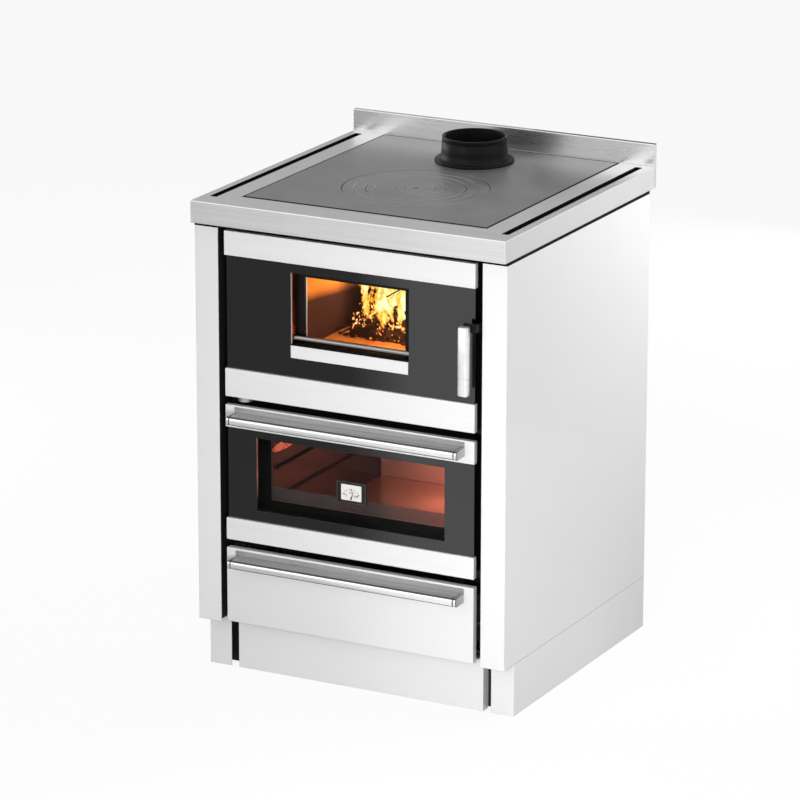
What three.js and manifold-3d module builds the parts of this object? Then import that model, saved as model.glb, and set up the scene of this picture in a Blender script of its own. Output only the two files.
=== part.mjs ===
// Freestanding wood cookstove with a fire door, a drop-down oven door, a wood drawer,
// a hob plate with a lift-out ring and lid, and a flue collar on top.
// Millimetres, +Z up. The front faces -Y. Heights are measured from the floor and depths
// from the front edge of the worktop; the last lines move the origin to the middle of the footprint.
import * as THREE from 'three';
import { mergeVertices } from 'three/addons/utils/BufferGeometryUtils.js';
import { RoundedBoxGeometry } from 'three/addons/geometries/RoundedBoxGeometry.js';
import Module from 'manifold-3d';

const wasm = await Module();
wasm.setup();

// ---------------------------------------------------------------- driving dimensions

const fitGap = 0.3;        // clearance between pieces that sit in or turn on each other
const weldDistance = 1e-4; // corners nearer to each other than this are one corner
const past = 1;            // how far a cut, or a piece joined to another, runs past their common face
const roundSteps = 64;     // facets round a large circle
const rodSteps = 20;       // facets round a pin or rod
const holeSteps = 12;      // facets round a small hole
const rimSteps = 8;        // facets round a thin rod
const wireSteps = 6;       // facets round a wire, and in a quarter of a bend
const edgeSteps = 2;       // facets across a rounded edge

const cooker = { width: 600, depth: 600, height: 850 };

const worktop = {
  edge: 39, sheet: 2, cornerRadius: 1.5, sideOverhang: 2, frontOverhang: 11.5, shadowGap: 3,
  slotWidth: 11, slotFromSide: 16, slotFromFront: 43, slotFromRear: 19,
};
const upstand = { thickness: 10, height: 40 };

const hob = {
  thickness: 10, fromSide: 68, fromFront: 66, fromRear: 5, seam: 2, ledge: 20, ledgeSheet: 3, lipDrop: 1,
  circleFromFront: 258, ringRadius: 128, lidRadius: 87, circleSeam: 1, seatWidth: 8, seatDrop: 5,
  grooveRadii: [70.5, 52.6, 35], grooveWidth: 1.6, grooveDepth: 1.2, hookHoleRadius: 5, hookHoleDepth: 4,
};

const flue = {
  fromRear: 107, flangeRadius: 70.5, flangeHeight: 5, beadRadius: 2.2, beadSteps: 3, flareHeight: 15,
  flareRoot: 1, flareSteps: 5, outerRadius: 58.5, topRadius: 57.5, rimChamfer: 1, boreRadius: 53, height: 46,
};

const sidePanel = { frontReturn: 45, rearReturn: 18, sheet: 1.5, bend: 2, fromRear: 21 };
const backPanel = {
  sheet: 1.5, slotCount: 9, slotLength: 90, slotHeight: 5, slotPitch: 16, slotFromMiddle: 45,
  slotBelowTop: 60,
};

const plinth = {
  height: 94, seam: 0.8, setback: 50, sheet: 1.5, sideReturn: 43, frontGap: 15, frontDepth: 20,
};
const basePlate = { sheet: 3, sideGap: 0.5, front: 54, skirtGap: 1, skirtLift: 2 };
const foot = {
  padRadius: 22, padHeight: 9, studRadius: 6, nutRadius: 11, nutHeight: 10, nutSides: 6,
  fromSide: 50, fromFront: 105, fromRear: 60,
};

// A door or drawer front is a skin of strips and glass on a frame that closes on the front frame.
const door = {
  sideGap: 13, topGap: 9, stackGap: 15, face: 10, skin: 10, glassRecess: 5, glassInset: 2,
  depth: 46, sealSpace: 6, sealWidth: 10, sealMargin: 2, stripSheet: 1.5, stripRadius: 0.8,
};
const frontFrame = { sheet: 3, sideInset: 4, cheekSheet: 3, cheekGap: 2.5, cheekFront: 15 };

const drawer = {
  lift: 4.5, height: 135.5, skin: 12, opening: { side: 10, bottom: 5.5, top: 4 },
  sheet: 1.5, trayBack: 500, traySide: 26, trayBottom: 13.5, trayHeight: 86, mountLap: 0.5,
  railHeight: 54, railWidth: 9, railSheet: 2.5,
};
const runner = { sheet: 2, height: 25, wall: 12, back: 540, tab: 17 };

const ovenDoor = {
  height: 244, topStrip: 40, bottomStrip: 39, windowFromSide: 58, windowAbove: 19.5, windowBelow: 14.5,
  frameInset: 8, frameSheet: 2, frameTrim: 1, backPlate: 3, innerGlass: 4, innerGlassLap: 8, surround: 1.5,
  hingeFromFace: 18, hingeLift: 8, hingeBoss: 7, hingeBossLength: 19,
};
const oven = {
  openingFromSide: 62, openingBottom: 33, openingTop: 31, floorDrop: 36, depth: 405, sheet: 1.5,
  ribDepth: 6, ribHeight: 4, ribCount: 3, ribPitch: 54, ribFromTop: 38,
};
const rack = { rimRadius: 2.5, wireRadius: 1.6, wireCount: 13, front: 12, back: 12, sideGap: 2 };
const thermometer = {
  width: 56, height: 38, depth: 6, rim: 7, faceDrop: 1.5, edgeRadius: 1, belowMiddle: 8,
};

const fireDoor = {
  topStrip: 43, bottomStrip: 50, windowHalf: 113, windowFromTop: 60, windowHeight: 150,
  frameLeft: 20, frameRight: 4, wall: 6, plateRecess: 14, plate: 8, surround: 3, innerMargin: 16,
  innerBottom: 24, innerTop: 10, pane: 4, paneLap: 7, hingeFromSide: 30, hingeFromFace: 18, hingeBoss: 8,
};
const sill = { height: 22, sheet: 2, frontDrop: 3, edgeRadius: 0.5 };
const guardBar = { radius: 5.5, fromFace: 16, aboveSill: 11 };
const firebox = {
  openingFromSide: 100, openingBottom: 14, openingTop: 22, sheet: 4, sideClear: 10, depth: 365,
  brick: 25, brickSetback: 1, hearthDrop: 2, hearth: 24, shelf: 12, shelfSheet: 3,
  smokeBoxHeight: 57, smokeBoxSide: 70, smokeBoxBack: 28, brickBelowSmokeBox: 5,
  backBrickHeight: 150, airHoleRadius: 5, airHoleCount: 6,
};
const grate = {
  width: 160, length: 170, thickness: 12, lip: 10, slotCount: 9, slotWidth: 9, slotEnd: 14, fromFront: 60,
};
const ashPan = {
  width: 240, length: 255, headroom: 9.7, sheet: 1.5, fromFront: 10,
  gripWidth: 50, gripDepth: 8, gripSheet: 2,
};

const hingePin = { radius: 5, reach: 22, endGap: 2, washerRadius: 13, washer: 4.5, plate: 4 };
const ovenHinge = {
  pinRadius: 4, pinEndGap: 1, plate: 7, plateGap: 2, eyeRadius: 10, footSheet: 3,
  linkWidth: 24, linkOffset: 36, linkDepth: 18, linkHeight: 14, linkBelowDoor: 9,
};

const pullBar = {
  length: 444, depth: 32, height: 16.5, cornerRadius: 7, wall: 2, cap: 6, dropOven: 11.5, dropDrawer: 12.5,
};
const latch = {
  barWidth: 19, barDepth: 16, barLength: 120, barRadius: 5, standOff: 14, barAbovePivot: 4,
  pivotFromFace: 24, pivotBelowTop: 108, pinRadius: 4, pinLength: 24, eyeRadius: 10,
  armHeight: 14, armPlate: 7, armGap: 2.5, neckInset: 4, neckDepth: 6,
  tail: 24, tailChamfer: 4, notch: 3, tip: 1, rollerRadius: 4, rollerBack: 16, keeperSide: 1, keeperFront: 2,
};

// ---------------------------------------------------------------- places that follow from them

const halfWidth = cooker.width / 2;
const worktopRear = cooker.depth - upstand.thickness;
const worktopBottom = cooker.height - worktop.edge;
const panelHalf = halfWidth - worktop.sideOverhang;
const panelInner = panelHalf - sidePanel.sheet;
const panelTop = worktopBottom - worktop.shadowGap;
const panelRear = cooker.depth - sidePanel.fromRear;
const returnEdge = panelHalf - sidePanel.frontReturn;
const doorHalf = returnEdge - door.sideGap;
const skinBack = door.face + door.skin;
const glassFront = door.face + door.glassRecess;
const glassHalf = doorHalf - door.glassInset;
const doorBack = door.face + door.depth;
const frameFront = doorBack + door.sealSpace;
const frameBack = frameFront + frontFrame.sheet;
const baseTop = plinth.height + basePlate.sheet;
const carcassTop = cooker.height - hob.thickness - hob.ledgeSheet - 3 * fitGap;

const drawerBottom = plinth.height + drawer.lift;
const drawerTop = drawerBottom + drawer.height;
const ovenDoorBottom = drawerTop + door.stackGap;
const ovenDoorTop = ovenDoorBottom + ovenDoor.height;
const fireDoorBottom = ovenDoorTop + door.stackGap;
const fireDoorTop = worktopBottom - door.topGap;

const hobSpace = {
  x: [-halfWidth + hob.fromSide - hob.seam, halfWidth - hob.fromSide + hob.seam],
  y: [hob.fromFront - hob.seam, worktopRear - hob.fromRear + hob.seam],
};
const hobBottom = cooker.height - hob.thickness;
const circleSeat = cooker.height - hob.seatDrop;
const flueCentre = worktopRear - flue.fromRear;

const fireOpening = {
  x: [-doorHalf + firebox.openingFromSide, doorHalf - firebox.openingFromSide],
  z: [fireDoorBottom + firebox.openingBottom, fireDoorTop - firebox.openingTop],
};
const ovenOpening = {
  x: [-doorHalf + oven.openingFromSide, doorHalf - oven.openingFromSide],
  z: [ovenDoorBottom + oven.openingBottom, ovenDoorTop - oven.openingTop],
};
const drawerOpening = {
  x: [-doorHalf + drawer.opening.side, doorHalf - drawer.opening.side],
  z: [drawerBottom + drawer.opening.bottom, drawerTop + drawer.opening.top],
};
const fireWindow = {
  x: [-fireDoor.windowHalf, fireDoor.windowHalf],
  z: [fireDoorTop - fireDoor.windowFromTop - fireDoor.windowHeight, fireDoorTop - fireDoor.windowFromTop],
};
const ovenWindow = {
  x: [-doorHalf + ovenDoor.windowFromSide, doorHalf - ovenDoor.windowFromSide],
  z: [
    ovenDoorBottom + ovenDoor.bottomStrip + ovenDoor.windowAbove,
    ovenDoorTop - ovenDoor.topStrip - ovenDoor.windowBelow,
  ],
};
const hearthTop = fireWindow.z[0] - firebox.hearthDrop;
const fireHinge = { x: -doorHalf + fireDoor.hingeFromSide, y: door.face + fireDoor.hingeFromFace };
const ovenHingeAxis = { y: door.face + ovenDoor.hingeFromFace, z: ovenDoorBottom + ovenDoor.hingeLift };
const latchPivot = { y: door.face + latch.pivotFromFace, z: fireDoorTop - latch.pivotBelowTop };

// ---------------------------------------------------------------- materials

const finish = (color, roughness, metalness) => (
  new THREE.MeshStandardMaterial({ color, roughness, metalness })
);
const brushedSteel = () => finish(0xc9c9c9, 0.34, 0.95);
const whitePaint = () => finish(0xf1f1f0, 0.3, 0);
const blackSteel = () => finish(0x1b1b1c, 0.6, 0.4);
const castIron = () => finish(0x1d1d1e, 0.5, 0.5);
const greyPlate = () => finish(0x7b7b7c, 0.45, 0.5);
const blackGlass = () => finish(0x232324, 0.12, 0);
const clearGlass = () => finish(0x5a5450, 0.05, 0);
const firebrick = () => finish(0x8a5a3a, 0.9, 0);
const sealRope = () => finish(0x3a3a38, 0.95, 0);
const galvanized = () => finish(0x9a9c9e, 0.5, 0.8);
const dialFace = () => finish(0xe8e8e4, 0.4, 0.2);
const rubber = () => finish(0x202020, 0.85, 0);

// ---------------------------------------------------------------- solid modelling helpers

// A closed triangle list as a solid, turned right side out if its faces point inwards.
function closedSolid(positions, triangles) {
  const build = (corners) => new wasm.Manifold(new wasm.Mesh({
    numProp: 3,
    vertProperties: new Float32Array(positions),
    triVerts: new Uint32Array(corners),
  }));
  const body = build(triangles.flat());
  return body.volume() > 0 ? body : build(triangles.map(([a, b, c]) => [b, a, c]).flat());
}

// A closed three.js geometry as a solid. Slivers that collapse on an axis are left out.
function solid(geometry) {
  const bare = geometry.clone();
  for (const attribute of Object.keys(bare.attributes)) {
    if (attribute !== 'position') bare.deleteAttribute(attribute);
  }
  const merged = mergeVertices(bare, weldDistance);
  const corners = merged.index.array;
  const triangles = [];
  for (let i = 0; i < corners.length; i += 3) {
    const [a, b, c] = corners.slice(i, i + 3);
    if (a !== b && b !== c && c !== a) triangles.push([a, b, c]);
  }
  return closedSolid(merged.attributes.position.array, triangles);
}

// An axis-aligned block between two limits on each axis, with rounded edges where a radius is given.
function block({ x, y, z }, radius = 0) {
  const size = [x[1] - x[0], y[1] - y[0], z[1] - z[0]];
  const shape = radius > 0
    ? new RoundedBoxGeometry(...size, edgeSteps, radius)
    : new THREE.BoxGeometry(...size);
  shape.translate((x[0] + x[1]) / 2, (y[0] + y[1]) / 2, (z[0] + z[1]) / 2);
  return solid(shape);
}

// The same limits moved outwards by a margin (inwards where it is negative) on the named axes.
function grow(box, margin, axes = 'xyz') {
  const grown = { ...box };
  for (const axis of axes) grown[axis] = [box[axis][0] - margin, box[axis][1] + margin];
  return grown;
}

// A rectangular ring: the block `outer` with `inner` cut right through it along one axis.
function ring(outer, inner, axis) {
  const through = { ...inner, [axis]: [outer[axis][0] - past, outer[axis][1] + past] };
  return block(outer).subtract(block(through));
}

// A round rod from `start` to `end` along one axis, centred on the other two coordinates.
function rod(axis, radius, start, end, [a, b], steps = rodSteps) {
  const shape = new THREE.CylinderGeometry(radius, radius, end - start, steps);
  const middle = (start + end) / 2;
  if (axis === 'x') shape.rotateZ(Math.PI / 2).translate(middle, a, b);
  if (axis === 'y') shape.translate(a, middle, b);
  if (axis === 'z') shape.rotateX(Math.PI / 2).translate(a, b, middle);
  return solid(shape);
}

// A closed (radius, height) outline turned about the vertical axis through (x, y).
function turned(outline, x, y, steps = roundSteps) {
  const shape = new THREE.LatheGeometry(outline.map(([r, z]) => new THREE.Vector2(r, z)), steps);
  shape.rotateX(Math.PI / 2).translate(x, y, 0);
  return solid(shape);
}

// An outline stretched by a length.
function stretched(outline, depth) {
  return new THREE.ExtrudeGeometry(outline, { depth, bevelEnabled: false, curveSegments: wireSteps });
}

// An outline drawn in (y, z) and stretched along X.
function stretchedX(outline, start, end) {
  const toX = new THREE.Matrix4().makeBasis(
    new THREE.Vector3(0, 1, 0), new THREE.Vector3(0, 0, 1), new THREE.Vector3(1, 0, 0),
  );
  return solid(stretched(outline, end - start).applyMatrix4(toX).translate(start, 0, 0));
}

// An outline drawn in (x, y) and stretched upwards.
function stretchedZ(outline, start, end) {
  return solid(stretched(outline, end - start).translate(0, 0, start));
}

const union = (...bodies) => bodies.reduce((whole, body) => whole.add(body));

// The limits on one axis that lie `half` to each side of a middle.
const around = (middle, half) => [middle - half, middle + half];

// The limits on X from `near` to `far` on one side of the middle plane.
const onSide = (side, near, far) => (side > 0 ? [near, far] : [-far, -near]);

// Adds a finished solid to a group under its name.
function addPart(group, name, body, material) {
  const { vertProperties, triVerts } = body.getMesh();
  const geometry = new THREE.BufferGeometry();
  geometry.setAttribute('position', new THREE.BufferAttribute(new Float32Array(vertProperties), 3));
  geometry.setIndex(new THREE.BufferAttribute(new Uint32Array(triVerts), 1));
  geometry.computeVertexNormals();
  const mesh = new THREE.Mesh(geometry, material);
  mesh.name = name;
  group.add(mesh);
}

// ---------------------------------------------------------------- worktop and hob

// Folded steel frame: a top sheet with a skirt all round, a lipped ledge that carries the hob
// plate, and a long vent slot down each side.
function worktopFrame() {
  const outer = { x: [-halfWidth, halfWidth], y: [0, worktopRear], z: [worktopBottom, cooker.height] };
  const hollow = grow(outer, -worktop.sheet, 'xy');
  hollow.z = [worktopBottom - past, cooker.height - worktop.sheet];
  const above = { ...outer, z: [worktopBottom - worktop.edge, cooker.height] };
  const skirt = block(above, worktop.cornerRadius).intersect(block(outer)).subtract(block(hollow));

  const ledgeTop = hobBottom - fitGap;
  const ledgeBottom = ledgeTop - hob.ledgeSheet;
  const lip = { ...grow(hobSpace, worktop.sheet, 'xy'), z: [ledgeBottom, cooker.height - hob.lipDrop] };
  const ledge = { ...lip, z: [ledgeBottom, ledgeTop] };
  let frame = skirt.subtract(block({ ...hobSpace, z: [worktopBottom, cooker.height + past] }));
  frame = union(frame, ring(lip, hobSpace, 'z'), ring(ledge, grow(hobSpace, -hob.ledge, 'xy'), 'z'));

  for (const side of [-1, 1]) {
    const outerEdge = halfWidth - worktop.slotFromSide;
    frame = frame.subtract(block({
      x: onSide(side, outerEdge - worktop.slotWidth, outerEdge),
      y: [worktop.slotFromFront, worktopRear - worktop.slotFromRear],
      z: [cooker.height - worktop.sheet - past, cooker.height + past],
    }));
  }
  return frame;
}

function backUpstand() {
  return block({
    x: [-halfWidth, halfWidth],
    y: [worktopRear, cooker.depth],
    z: [worktopBottom, cooker.height + upstand.height],
  }, worktop.cornerRadius);
}

// Plate with a stepped round opening for the ring and a plain hole under the flue collar.
function hobPlate() {
  const plate = block({ ...grow(hobSpace, -hob.seam, 'xy'), z: [hobBottom, cooker.height] });
  const wide = hob.ringRadius + hob.circleSeam;
  const narrow = wide - hob.seatWidth;
  const centre = [0, hob.circleFromFront];
  return plate
    .subtract(rod('z', wide, circleSeat, cooker.height + past, centre, roundSteps))
    .subtract(rod('z', narrow, hobBottom - past, circleSeat + past, centre, roundSteps))
    .subtract(rod('z', flue.boreRadius, hobBottom - past, cooker.height + past, [0, flueCentre], roundSteps));
}

// Ring that drops into the plate's step and has the same step inside for the lid.
function hobRing() {
  const seat = circleSeat + fitGap;
  const body = hob.ringRadius - hob.seatWidth;
  const lidHole = hob.lidRadius + hob.circleSeam;
  return turned([
    [lidHole - hob.seatWidth, hobBottom], [body, hobBottom], [body, seat], [hob.ringRadius, seat],
    [hob.ringRadius, cooker.height], [lidHole, cooker.height], [lidHole, circleSeat],
    [lidHole - hob.seatWidth, circleSeat], [lidHole - hob.seatWidth, hobBottom],
  ], 0, hob.circleFromFront);
}

// Lid with turned grooves on top and a blind hole in the middle for the lifting hook.
function hobLid() {
  const top = cooker.height;
  const outline = [[0, hobBottom], [hob.lidRadius - hob.seatWidth, hobBottom]];
  outline.push([hob.lidRadius - hob.seatWidth, circleSeat + fitGap], [hob.lidRadius, circleSeat + fitGap]);
  outline.push([hob.lidRadius, top]);
  for (const radius of hob.grooveRadii) {
    outline.push([radius + hob.grooveWidth / 2, top], [radius, top - hob.grooveDepth]);
    outline.push([radius - hob.grooveWidth / 2, top]);
  }
  outline.push([hob.hookHoleRadius, top], [hob.hookHoleRadius, top - hob.hookHoleDepth]);
  outline.push([0, top - hob.hookHoleDepth]);
  return turned(outline, 0, hob.circleFromFront);
}

// Cast collar: beaded flange, concave flare and a slightly tapered open spigot.
function flueCollar() {
  const base = cooker.height;
  const outline = [[flue.boreRadius, base], [flue.flangeRadius, base]];
  const bead = { x: flue.flangeRadius - flue.beadRadius, z: base + flue.flangeHeight - flue.beadRadius };
  for (let step = 0; step <= flue.beadSteps; step += 1) {
    const angle = (Math.PI / 2) * (step / flue.beadSteps);
    outline.push([bead.x + flue.beadRadius * Math.cos(angle), bead.z + flue.beadRadius * Math.sin(angle)]);
  }
  const flareStart = {
    x: flue.flangeRadius - 2 * flue.beadRadius,
    z: base + flue.flangeHeight - flue.flareRoot,
  };
  const flareEnd = { x: flue.outerRadius, z: base + flue.flangeHeight + flue.flareHeight };
  for (let step = 0; step <= flue.flareSteps; step += 1) {
    const angle = (Math.PI / 2) * (step / flue.flareSteps);
    outline.push([
      flareEnd.x + (flareStart.x - flareEnd.x) * (1 - Math.sin(angle)),
      flareStart.z + (flareEnd.z - flareStart.z) * (1 - Math.cos(angle)),
    ]);
  }
  const rim = base + flue.height;
  const chamfer = flue.rimChamfer;
  outline.push([flue.topRadius, rim - chamfer], [flue.topRadius - chamfer, rim]);
  outline.push([flue.boreRadius + chamfer, rim], [flue.boreRadius, rim - chamfer]);
  outline.push([flue.boreRadius, base]);
  return turned(outline, 0, flueCentre);
}

// ---------------------------------------------------------------- outer casing

// Outline of a bent side sheet seen from above: a front return, a rounded bend and a rear return.
function sideOutline(side, front, frontEdge, rear) {
  const { sheet, bend, rearReturn } = sidePanel;
  const outline = new THREE.Shape();
  const to = (x, y) => outline.lineTo(side * x, y);
  outline.moveTo(side * frontEdge, front);
  to(panelHalf - bend, front);
  outline.quadraticCurveTo(side * panelHalf, front, side * panelHalf, front + bend);
  to(panelHalf, rear);
  to(panelHalf - rearReturn, rear);
  to(panelHalf - rearReturn, rear - sheet);
  to(panelInner, rear - sheet);
  to(panelInner, front + bend);
  const innerBend = side * (panelInner - bend + sheet);
  outline.quadraticCurveTo(side * panelInner, front + sheet, innerBend, front + sheet);
  to(frontEdge, front + sheet);
  outline.closePath();
  return outline;
}

function casingSide(side) {
  const outline = sideOutline(side, worktop.frontOverhang, returnEdge, panelRear);
  return stretchedZ(outline, plinth.height, panelTop);
}

function plinthSide(side) {
  const edge = panelHalf - plinth.sideReturn;
  return stretchedZ(sideOutline(side, plinth.setback, edge, panelRear), 0, plinth.height - plinth.seam);
}

// Kick panel: a shallow pan, open behind and below.
function plinthFront() {
  const half = panelHalf - plinth.sideReturn - plinth.frontGap;
  const outer = {
    x: [-half, half],
    y: [plinth.setback, plinth.setback + plinth.frontDepth],
    z: [0, plinth.height - plinth.seam],
  };
  const inner = {
    x: grow(outer, -plinth.sheet).x,
    y: [outer.y[0] + plinth.sheet, outer.y[1] + past],
    z: [-past, outer.z[1] - plinth.sheet],
  };
  return block(outer).subtract(block(inner));
}

// Rear sheet with rows of vent slots, fixed inside the rear returns of the side panels.
function rearPanel() {
  const rear = panelRear - sidePanel.sheet;
  let panel = block({
    x: around(0, panelInner - basePlate.sideGap),
    y: [rear - backPanel.sheet, rear],
    z: [baseTop, carcassTop],
  });
  for (let row = 0; row < backPanel.slotCount; row += 1) {
    const middle = panelTop - backPanel.slotBelowTop - row * backPanel.slotPitch;
    for (const side of [-1, 1]) {
      panel = panel.subtract(block({
        x: onSide(side, backPanel.slotFromMiddle, backPanel.slotFromMiddle + backPanel.slotLength),
        y: [rear - backPanel.sheet - past, rear + past],
        z: around(middle, backPanel.slotHeight / 2),
      }));
    }
  }
  return panel;
}

// Floor of the casing, with a skirt that closes the gaps beside the kick panel.
function floorPlate() {
  const x = around(0, panelInner - basePlate.sideGap);
  const skirt = plinth.setback + plinth.frontDepth + basePlate.skirtGap;
  return union(
    block({ x, y: [basePlate.front, panelRear - sidePanel.sheet], z: [plinth.height, baseTop] }),
    block({ x, y: [skirt, skirt + basePlate.sheet], z: [basePlate.skirtLift, baseTop] }),
  );
}

// Levelling foot: a round pad, a threaded stud and a lock nut under the floor plate.
function levellingFoot(side, y) {
  const x = side * (panelHalf - foot.fromSide);
  const { padRadius, padHeight, studRadius } = foot;
  const shaft = turned([
    [0, 0], [padRadius, 0], [padRadius, padHeight / 2], [padRadius / 2, padHeight],
    [studRadius, padHeight], [studRadius, plinth.height], [0, plinth.height],
  ], x, y, rodSteps);
  const nut = rod('z', foot.nutRadius, plinth.height - foot.nutHeight, plinth.height, [x, y], foot.nutSides);
  return shaft.add(nut);
}

// ---------------------------------------------------------------- carcass, firebox and oven

// Black sheet behind the doors with an opening for each compartment and a cheek down each side.
function innerFront() {
  const half = panelHalf - frontFrame.sideInset;
  let frame = block({ x: [-half, half], y: [frameFront, frameBack], z: [baseTop, carcassTop] });
  for (const opening of [fireOpening, ovenOpening, drawerOpening]) {
    frame = frame.subtract(block({ ...opening, y: [frameFront - past, frameBack + past] }));
  }
  const cheek = returnEdge + frontFrame.cheekGap;
  for (const side of [-1, 1]) {
    frame = frame.add(block({
      x: onSide(side, cheek, cheek + frontFrame.cheekSheet),
      y: [frontFrame.cheekFront, frameBack],
      z: [baseTop, carcassTop],
    }));
  }
  return frame;
}

// Welded firebox: an open-fronted chamber under a wide smoke box that reaches back to the flue,
// with a shelf down each side for the hearth.
function fireboxShell() {
  const { sheet } = firebox;
  const room = chamberRoom();
  const chamber = { ...grow(room, sheet), y: [frameBack, room.y[1] + sheet] };
  const smokeBox = {
    x: around(0, halfWidth - firebox.smokeBoxSide),
    y: [frameBack, cooker.depth - firebox.smokeBoxBack],
    z: [fireboxTop() - sheet, carcassTop + fitGap],
  };
  const smokeRoom = { ...grow(smokeBox, -sheet, 'xy'), z: [fireboxTop(), cooker.height] };
  const throat = { ...room, y: [room.y[0] + sheet, room.y[1]], z: [room.z[0], cooker.height] };
  const mouth = { ...room, y: [room.y[0] - past, room.y[1]] };
  let shell = union(block(chamber), block(smokeBox));
  for (const hollow of [smokeRoom, throat, mouth]) shell = shell.subtract(block(hollow));

  const shelfTop = hearthTop - firebox.hearth - fitGap;
  for (const side of [-1, 1]) {
    shell = shell.add(block({
      x: onSide(side, room.x[1] - firebox.shelf, room.x[1] + past),
      y: room.y,
      z: [shelfTop - firebox.shelfSheet, shelfTop],
    }));
  }
  return shell;
}

// Height of the floor of the smoke box.
function fireboxTop() {
  return cooker.height - firebox.smokeBoxHeight;
}

// The clear space of the combustion chamber between its sheet walls.
function chamberRoom() {
  return {
    x: grow(fireOpening, firebox.sideClear, 'x').x,
    y: [frameBack, frameBack + firebox.depth - firebox.sheet],
    z: [fireOpening.z[0], fireboxTop() - firebox.sheet],
  };
}

function sideBrick(side) {
  const room = chamberRoom();
  const face = room.x[1] - fitGap;
  return block({
    x: onSide(side, face - firebox.brick, face),
    y: [room.y[0] + firebox.brickSetback, room.y[1] - fitGap],
    z: [hearthTop + fitGap, fireboxTop() - firebox.brickBelowSmokeBox],
  });
}

// Back brick with a row of air holes low down.
function backBrick() {
  const room = chamberRoom();
  const half = room.x[1] - firebox.brick - 2 * fitGap;
  const rear = room.y[1] - fitGap;
  const body = {
    x: [-half, half],
    y: [rear - firebox.brick, rear],
    z: [hearthTop + fitGap, hearthTop + firebox.backBrickHeight],
  };
  const drill = [body.y[0] - past, body.y[1] + past];
  let brick = block(body);
  for (let hole = 0; hole < firebox.airHoleCount; hole += 1) {
    const x = -half + (2 * half * (hole + 0.5)) / firebox.airHoleCount;
    const z = hearthTop + firebox.backBrickHeight / 2;
    brick = brick.subtract(rod('y', firebox.airHoleRadius, ...drill, [x, z], holeSteps));
  }
  return brick;
}

// Limits of the grate, which drops into a step in the hearth.
function grateSpace() {
  const front = frameBack + grate.fromFront;
  return {
    x: [-grate.width / 2, grate.width / 2],
    y: [front, front + grate.length],
    z: [hearthTop - grate.thickness, hearthTop],
  };
}

function hearthSlab() {
  const room = chamberRoom();
  const slab = block({
    x: grow(room, -fitGap, 'x').x,
    y: [room.y[0] + firebox.brickSetback, room.y[1] - fitGap],
    z: [hearthTop - firebox.hearth, hearthTop],
  });
  const seat = grow(grateSpace(), fitGap);
  seat.z = [seat.z[0], hearthTop + past];
  const well = grow(grateSpace(), -grate.lip, 'xy');
  well.z = [hearthTop - firebox.hearth - past, hearthTop];
  return slab.subtract(block(seat)).subtract(block(well));
}

// Cast grate with long slots from front to back.
function fireGrate() {
  const space = grateSpace();
  let plate = block(space);
  const pitch = (grate.width - 2 * grate.lip) / grate.slotCount;
  for (let slot = 0; slot < grate.slotCount; slot += 1) {
    const x = space.x[0] + grate.lip + pitch * (slot + 0.5);
    plate = plate.subtract(block({
      x: around(x, grate.slotWidth / 2),
      y: [space.y[0] + grate.slotEnd, space.y[1] - grate.slotEnd],
      z: [space.z[0] - past, space.z[1] + past],
    }));
  }
  return plate;
}

// Open tray that fills the room under the hearth, with a lip to pull it out by.
function ashTray() {
  const room = chamberRoom();
  const outer = {
    x: [-ashPan.width / 2, ashPan.width / 2],
    y: [room.y[0] + ashPan.fromFront, room.y[0] + ashPan.fromFront + ashPan.length],
    z: [room.z[0] + fitGap, hearthTop - firebox.hearth - ashPan.headroom],
  };
  const inner = { ...grow(outer, -ashPan.sheet, 'xy'), z: [outer.z[0] + ashPan.sheet, outer.z[1] + past] };
  const grip = {
    x: [-ashPan.gripWidth / 2, ashPan.gripWidth / 2],
    y: [outer.y[0] - ashPan.gripDepth, outer.y[0] + ashPan.sheet],
    z: [outer.z[1] - ashPan.gripSheet, outer.z[1]],
  };
  return block(outer).subtract(block(inner)).add(block(grip));
}

// Clear space inside the oven, as wide and high as its opening, with a lower floor.
function ovenRoom() {
  return {
    x: ovenOpening.x,
    y: [frameBack, frameBack + oven.depth],
    z: [ovenOpening.z[0] - oven.floorDrop, ovenOpening.z[1]],
  };
}

// Sheet oven, open in front, with pairs of ribs for the rack.
function ovenBox() {
  const room = ovenRoom();
  const outer = { ...grow(room, oven.sheet), y: [room.y[0], room.y[1] + oven.sheet] };
  let box = block(outer).subtract(block({ ...room, y: [room.y[0] - past, room.y[1]] }));
  for (const height of rackHeights()) {
    for (const side of [-1, 1]) {
      box = box.add(block({
        x: onSide(side, room.x[1] - oven.ribDepth, room.x[1] + oven.sheet / 2),
        y: [room.y[0] + rack.front, room.y[1]],
        z: [height - oven.ribHeight, height],
      }));
    }
  }
  return box;
}

// Tops of the rack ribs, from the highest pair down.
function rackHeights() {
  const top = ovenRoom().z[1] - oven.ribFromTop;
  return Array.from({ length: oven.ribCount }, (_, step) => top - step * oven.ribPitch);
}

// Wire rack on the highest ribs, above the view through the window.
function wireRack() {
  const room = ovenRoom();
  const height = rackHeights()[0] + fitGap + rack.rimRadius;
  const half = room.x[1] - rack.rimRadius - rack.sideGap;
  const ends = [room.y[0] + rack.front + rack.rimRadius, room.y[1] - rack.back - rack.rimRadius];
  const bars = [];
  for (const y of ends) bars.push(rod('x', rack.rimRadius, -half, half, [y, height], rimSteps));
  for (const x of [-half, half]) bars.push(rod('y', rack.rimRadius, ...ends, [x, height], rimSteps));
  for (let wire = 1; wire <= rack.wireCount; wire += 1) {
    const x = -half + (2 * half * wire) / (rack.wireCount + 1);
    bars.push(rod('y', rack.wireRadius, ...ends, [x, height], wireSteps));
  }
  return union(...bars);
}

// ---------------------------------------------------------------- doors: shared pieces

// Limits of a skin piece that spans the whole width of a door.
const skinSpace = (bottom, top) => ({
  x: [-doorHalf, doorHalf], y: [door.face, skinBack], z: [bottom, top],
});

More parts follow.
